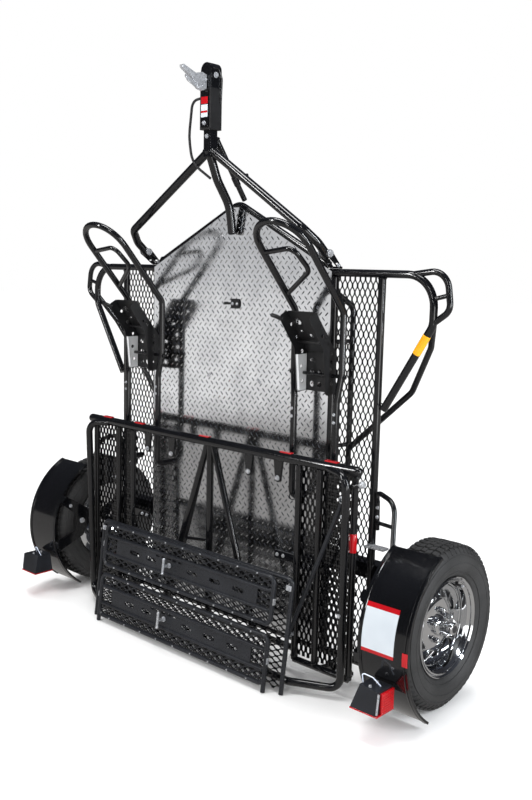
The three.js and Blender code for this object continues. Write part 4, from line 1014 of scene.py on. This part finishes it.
rack = Piece("rack_frame_smooth", SATIN)
rack.move = LEAN
rack.tube([v(-RACK_HALF, 0, rack_foot(0)), v(-RACK_HALF, 0, RACK_TOP), v(RACK_HALF, 0, RACK_TOP),
           v(RACK_HALF, 0, rack_foot(0))], RACK_R, 26, 18)
for s in (-1, 1):
    rack.bar(v(s * 548, -9, 392), v(s * 548, -9, 412), 26, 3, v(1, 0, 0), ZINC)
    rack.hex_bolt(v(s * 548, -10.5, 402), v(0, -1, 0), 5, 4)
rack.make("rear_frame", "ramp_rack_frame", slot="gloss_black")

sheet = Piece("rack_expanded", BLACK)
sheet.move = LEAN
expanded_metal(sheet, -RACK_HALF + 8, RACK_HALF - 8, 18, RACK_TOP - 6, 0, False, 4.6)
sheet.make("rear_frame", "ramp_rack_mesh", slot="expanded_metal", bevel=0)


def ramp(name, low, high, feet):
    mid = (low + high) / 2
    piece = Piece("ramp_smooth_" + name, SATIN)
    piece.move = LEAN
    for s in (-1, 1):
        piece.tube(flip([v(-2, RAMP_Y, low), v(RAMP_HALF, RAMP_Y, low), v(RAMP_HALF, RAMP_Y, high), v(-2, RAMP_Y, high)], s),
                   RACK_R, 30, 20)
        if feet:
            piece.rod(v(s * RAMP_HALF, RAMP_Y, rack_foot(RAMP_Y)), v(s * RAMP_HALF, RAMP_Y, low + 40), RACK_R, 18)
        for z in (mid - 38, mid + 38):
            piece.rod(v(-2 * s, RAMP_Y, z), v(s * RAMP_HALF, RAMP_Y, z), 8, 18)
            piece.ring(v(s * (RAMP_HALF - 11), RAMP_Y, z), v(1, 0, 0), 8.6, 2.0, 18)
        piece.bar(v(s * (RAMP_HALF + 9), RAMP_Y, mid - 12), v(s * (RAMP_HALF + 9), RAMP_Y, mid + 12), 3, 14, v(1, 0, 0), ZINC)
    slots = [slot_hole(x, 0, 62, 18) for x in (-300, -190, 60, 190, 320)]
    slots += [slot_hole(x, 24, 26, 8) for x in range(-150, 20, 34)]
    piece.plate([(-420, -38), (420, -38), (420, 38), (-420, 38)], v(0, RAMP_Y + 2, mid), v(1, 0, 0), v(0, 0, 1), 4, slots)
    for k in range(-4, 5):
        x = k * 104
        for z in (low, high):
            piece.rod(v(x, RAMP_Y - 7, z), v(x, RAMP_Y - 12, z), 3.6, 6, ZINC)
    expanded_metal(piece, -RAMP_HALF + 8, RAMP_HALF - 8, low + 4, high - 4, RAMP_Y + 7, False, 4.6)
    piece.make(name + "_ramp", "ramp_" + name, slot="gloss_black", bevel=0.6)

    clamp = Piece("ramp_clamp_smooth_" + name, ZINC)
    clamp.move = LEAN
    face = RAMP_Y - 2.4
    clamp.rod(v(-75, face, mid), v(-75, face - 34, mid), 6, 16)
    clamp.rod(v(-75, face, mid), v(-75, face - 3, mid), 11, 24)
    clamp.rod(v(-75, face - 3, mid), v(-75, face - 10, mid), 8, 6)
    clamp.rod(v(-75, face - 34, mid - 30), v(-75, face - 34, mid + 30), 5.4, 14)
    for way in (-1, 1):
        clamp.lathe([(5, 0), (7, 2), (7, 6), (4, 9), (0, 9)], v(-75, face - 34, mid + way * 26), v(0, 0, way), 14)
    clamp.make(name + "_clamp", "ramp_clamp_" + name, slot="zinc")


ramp("upper", 252, 432, False)
ramp("lower", 26, 208, True)


# ------------------------------------------------------------------ floor, light and camera
floor_mesh = bpy.data.meshes.new("studio_floor")
floor_half = 40.0
floor_mesh.from_pydata([(-floor_half, -floor_half, -0.0005), (floor_half, -floor_half, -0.0005),
                        (floor_half, floor_half, -0.0005), (-floor_half, floor_half, -0.0005)], [], [(0, 1, 2, 3)])
floor = bpy.data.objects.new("studio_floor", floor_mesh)
bpy.context.scene.collection.objects.link(floor)
floor_paint, floor_tree, floor_shader = new_material("studio_white")
floor_grain = noise(floor_tree, 3.0, 2.0)
floor_tree.links.new(tint(floor_tree, floor_grain, (0.9, 0.9, 0.9), (0.93, 0.93, 0.93)), floor_shader.inputs["Base Color"])
floor_shader.inputs["Roughness"].default_value = 1.0
floor_shader.inputs["Specular IOR Level"].default_value = 0.0
seen = floor_tree.nodes.new("ShaderNodeLightPath")
dark_floor = floor_tree.nodes.new("ShaderNodeEmission")
dark_floor.inputs["Color"].default_value = (0.34, 0.33, 0.32, 1)
dark_floor.inputs["Strength"].default_value = 1.1
floor_mix = floor_tree.nodes.new("ShaderNodeMixShader")
floor_tree.links.new(seen.outputs["Is Glossy Ray"], floor_mix.inputs[0])
floor_tree.links.new(floor_shader.outputs[0], floor_mix.inputs[1])
floor_tree.links.new(dark_floor.outputs[0], floor_mix.inputs[2])
floor_tree.links.new(floor_mix.outputs[0], floor_tree.nodes["Material Output"].inputs["Surface"])
floor_mesh.materials.append(floor_paint)

scene = bpy.context.scene
world = bpy.data.worlds.new("studio_world")
scene.world = world
world.use_nodes = True
sky = world.node_tree
background = sky.nodes["Background"]
output = sky.nodes["World Output"]
rays = sky.nodes.new("ShaderNodeLightPath")
room = sky.nodes.new("ShaderNodeBackground")
room.inputs["Color"].default_value = (1, 1, 1, 1)
room.inputs["Strength"].default_value = 0.8
background.inputs["Color"].default_value = (1, 1, 1, 1)
background.inputs["Strength"].default_value = 1.0
gloss = sky.nodes.new("ShaderNodeBackground")
direction = sky.nodes.new("ShaderNodeTexCoord")
split = sky.nodes.new("ShaderNodeSeparateXYZ")
fade = sky.nodes.new("ShaderNodeValToRGB")
fade.color_ramp.elements[0].position = 0.0
fade.color_ramp.elements[0].color = (0.05, 0.05, 0.055, 1)
fade.color_ramp.elements[1].position = 0.9
fade.color_ramp.elements[1].color = (0.12, 0.13, 0.16, 1)
middle = fade.color_ramp.elements.new(0.45)
middle.color = (0.04, 0.042, 0.05, 1)
sky.links.new(direction.outputs["Generated"], split.inputs["Vector"])
sky.links.new(split.outputs["Z"], fade.inputs["Fac"])
sky.links.new(fade.outputs["Color"], gloss.inputs["Color"])
gloss.inputs["Strength"].default_value = 0.7
mix_gloss = sky.nodes.new("ShaderNodeMixShader")
mix_camera = sky.nodes.new("ShaderNodeMixShader")
sky.links.new(rays.outputs["Is Glossy Ray"], mix_gloss.inputs[0])
sky.links.new(room.outputs[0], mix_gloss.inputs[1])
sky.links.new(gloss.outputs[0], mix_gloss.inputs[2])
sky.links.new(rays.outputs["Is Camera Ray"], mix_camera.inputs[0])
sky.links.new(mix_gloss.outputs[0], mix_camera.inputs[1])
sky.links.new(background.outputs[0], mix_camera.inputs[2])
sky.links.new(mix_camera.outputs[0], output.inputs["Surface"])


def softbox(name, place, target, width, height, power, colour=(1, 1, 1)):
    light = bpy.data.lights.new(name, "AREA")
    light.shape = "RECTANGLE"
    light.size = width
    light.size_y = height
    light.energy = power
    light.color = colour
    lamp = bpy.data.objects.new(name, light)
    lamp.location = place
    lamp.rotation_euler = (Vector(target) - Vector(place)).to_track_quat("-Z", "Y").to_euler()
    scene.collection.objects.link(lamp)
    return lamp


def spare(lamp, objects):
    """Leave the given objects out of what a lamp lights."""
    spared = bpy.data.collections.new("not_lit_by_" + lamp.name)
    for spared_object in objects:
        spared.objects.link(spared_object)
    lamp.light_linking.receiver_collection = spared
    for member in spared.collection_objects:
        member.light_linking.link_state = "EXCLUDE"


plate_card = softbox("plate_card", (-3.5, -3.9, 1.25), (0, 0, 1.2), 3.6, 2.3, 17)
plate_only = bpy.data.collections.new("lit_by_plate_card")
plate_only.objects.link(deck_object)
plate_card.light_linking.receiver_collection = plate_only
sun = bpy.data.lights.new("sun", "SUN")
sun.energy = 1.35
sun.angle = math.radians(34)
sun_lamp = bpy.data.objects.new("sun", sun)
sun_lamp.rotation_euler = Vector((0.42, -0.5, -1.6)).to_track_quat("-Z", "Y").to_euler()
sun_lamp.visible_glossy = False
scene.collection.objects.link(sun_lamp)
strip_left = softbox("strip_left", (-2.2, -4.6, 3.4), (0, 0, 1.1), 0.24, 3.0, 85)
spare(strip_left, [deck_object] + fender_objects)
softbox("strip_right", (4.2, 0.4, 2.2), (0.3, 0, 1.0), 0.3, 3.2, 110, (0.92, 0.96, 1.0))
strip_camera = softbox("strip_camera", (1.9, -4.8, 3.2), (0, 0, 1.0), 0.18, 2.6, 34)
spare(strip_camera, [deck_object])
softbox("wheel_card", (4.6, -2.2, 0.9), (1.0, 0, 0.4), 2.2, 1.6, 30)
overhead = softbox("overhead", (0.2, -0.9, 4.8), (0, 0, 0.6), 2.4, 0.7, 70)
spare(overhead, [deck_object])

CAMERA_PLACE = Vector((2.664, -2.7255, 1.575))
CAMERA_YAW = math.radians(42.26)
CAMERA_PITCH = math.radians(-8.26)
CAMERA_ROLL = math.radians(1.31)
view = Vector((-math.sin(CAMERA_YAW) * math.cos(CAMERA_PITCH), math.cos(CAMERA_YAW) * math.cos(CAMERA_PITCH),
               math.sin(CAMERA_PITCH)))
right = view.cross(Vector((0, 0, 1))).normalized()
upward = right.cross(view)
right_rolled = right * math.cos(CAMERA_ROLL) + upward * math.sin(CAMERA_ROLL)
up_rolled = upward * math.cos(CAMERA_ROLL) - right * math.sin(CAMERA_ROLL)
camera = bpy.data.objects.new("camera", bpy.data.cameras.new("camera"))
camera.data.sensor_width = 36
camera.data.lens = 41.24
camera.data.clip_start = 0.05
camera.matrix_world = Matrix.Translation(CAMERA_PLACE) @ Matrix((right_rolled, up_rolled, -view)).transposed().to_4x4()
scene.collection.objects.link(camera)
scene.camera = camera
scene.view_settings.view_transform = "Standard"

bpy.context.view_layer.update()
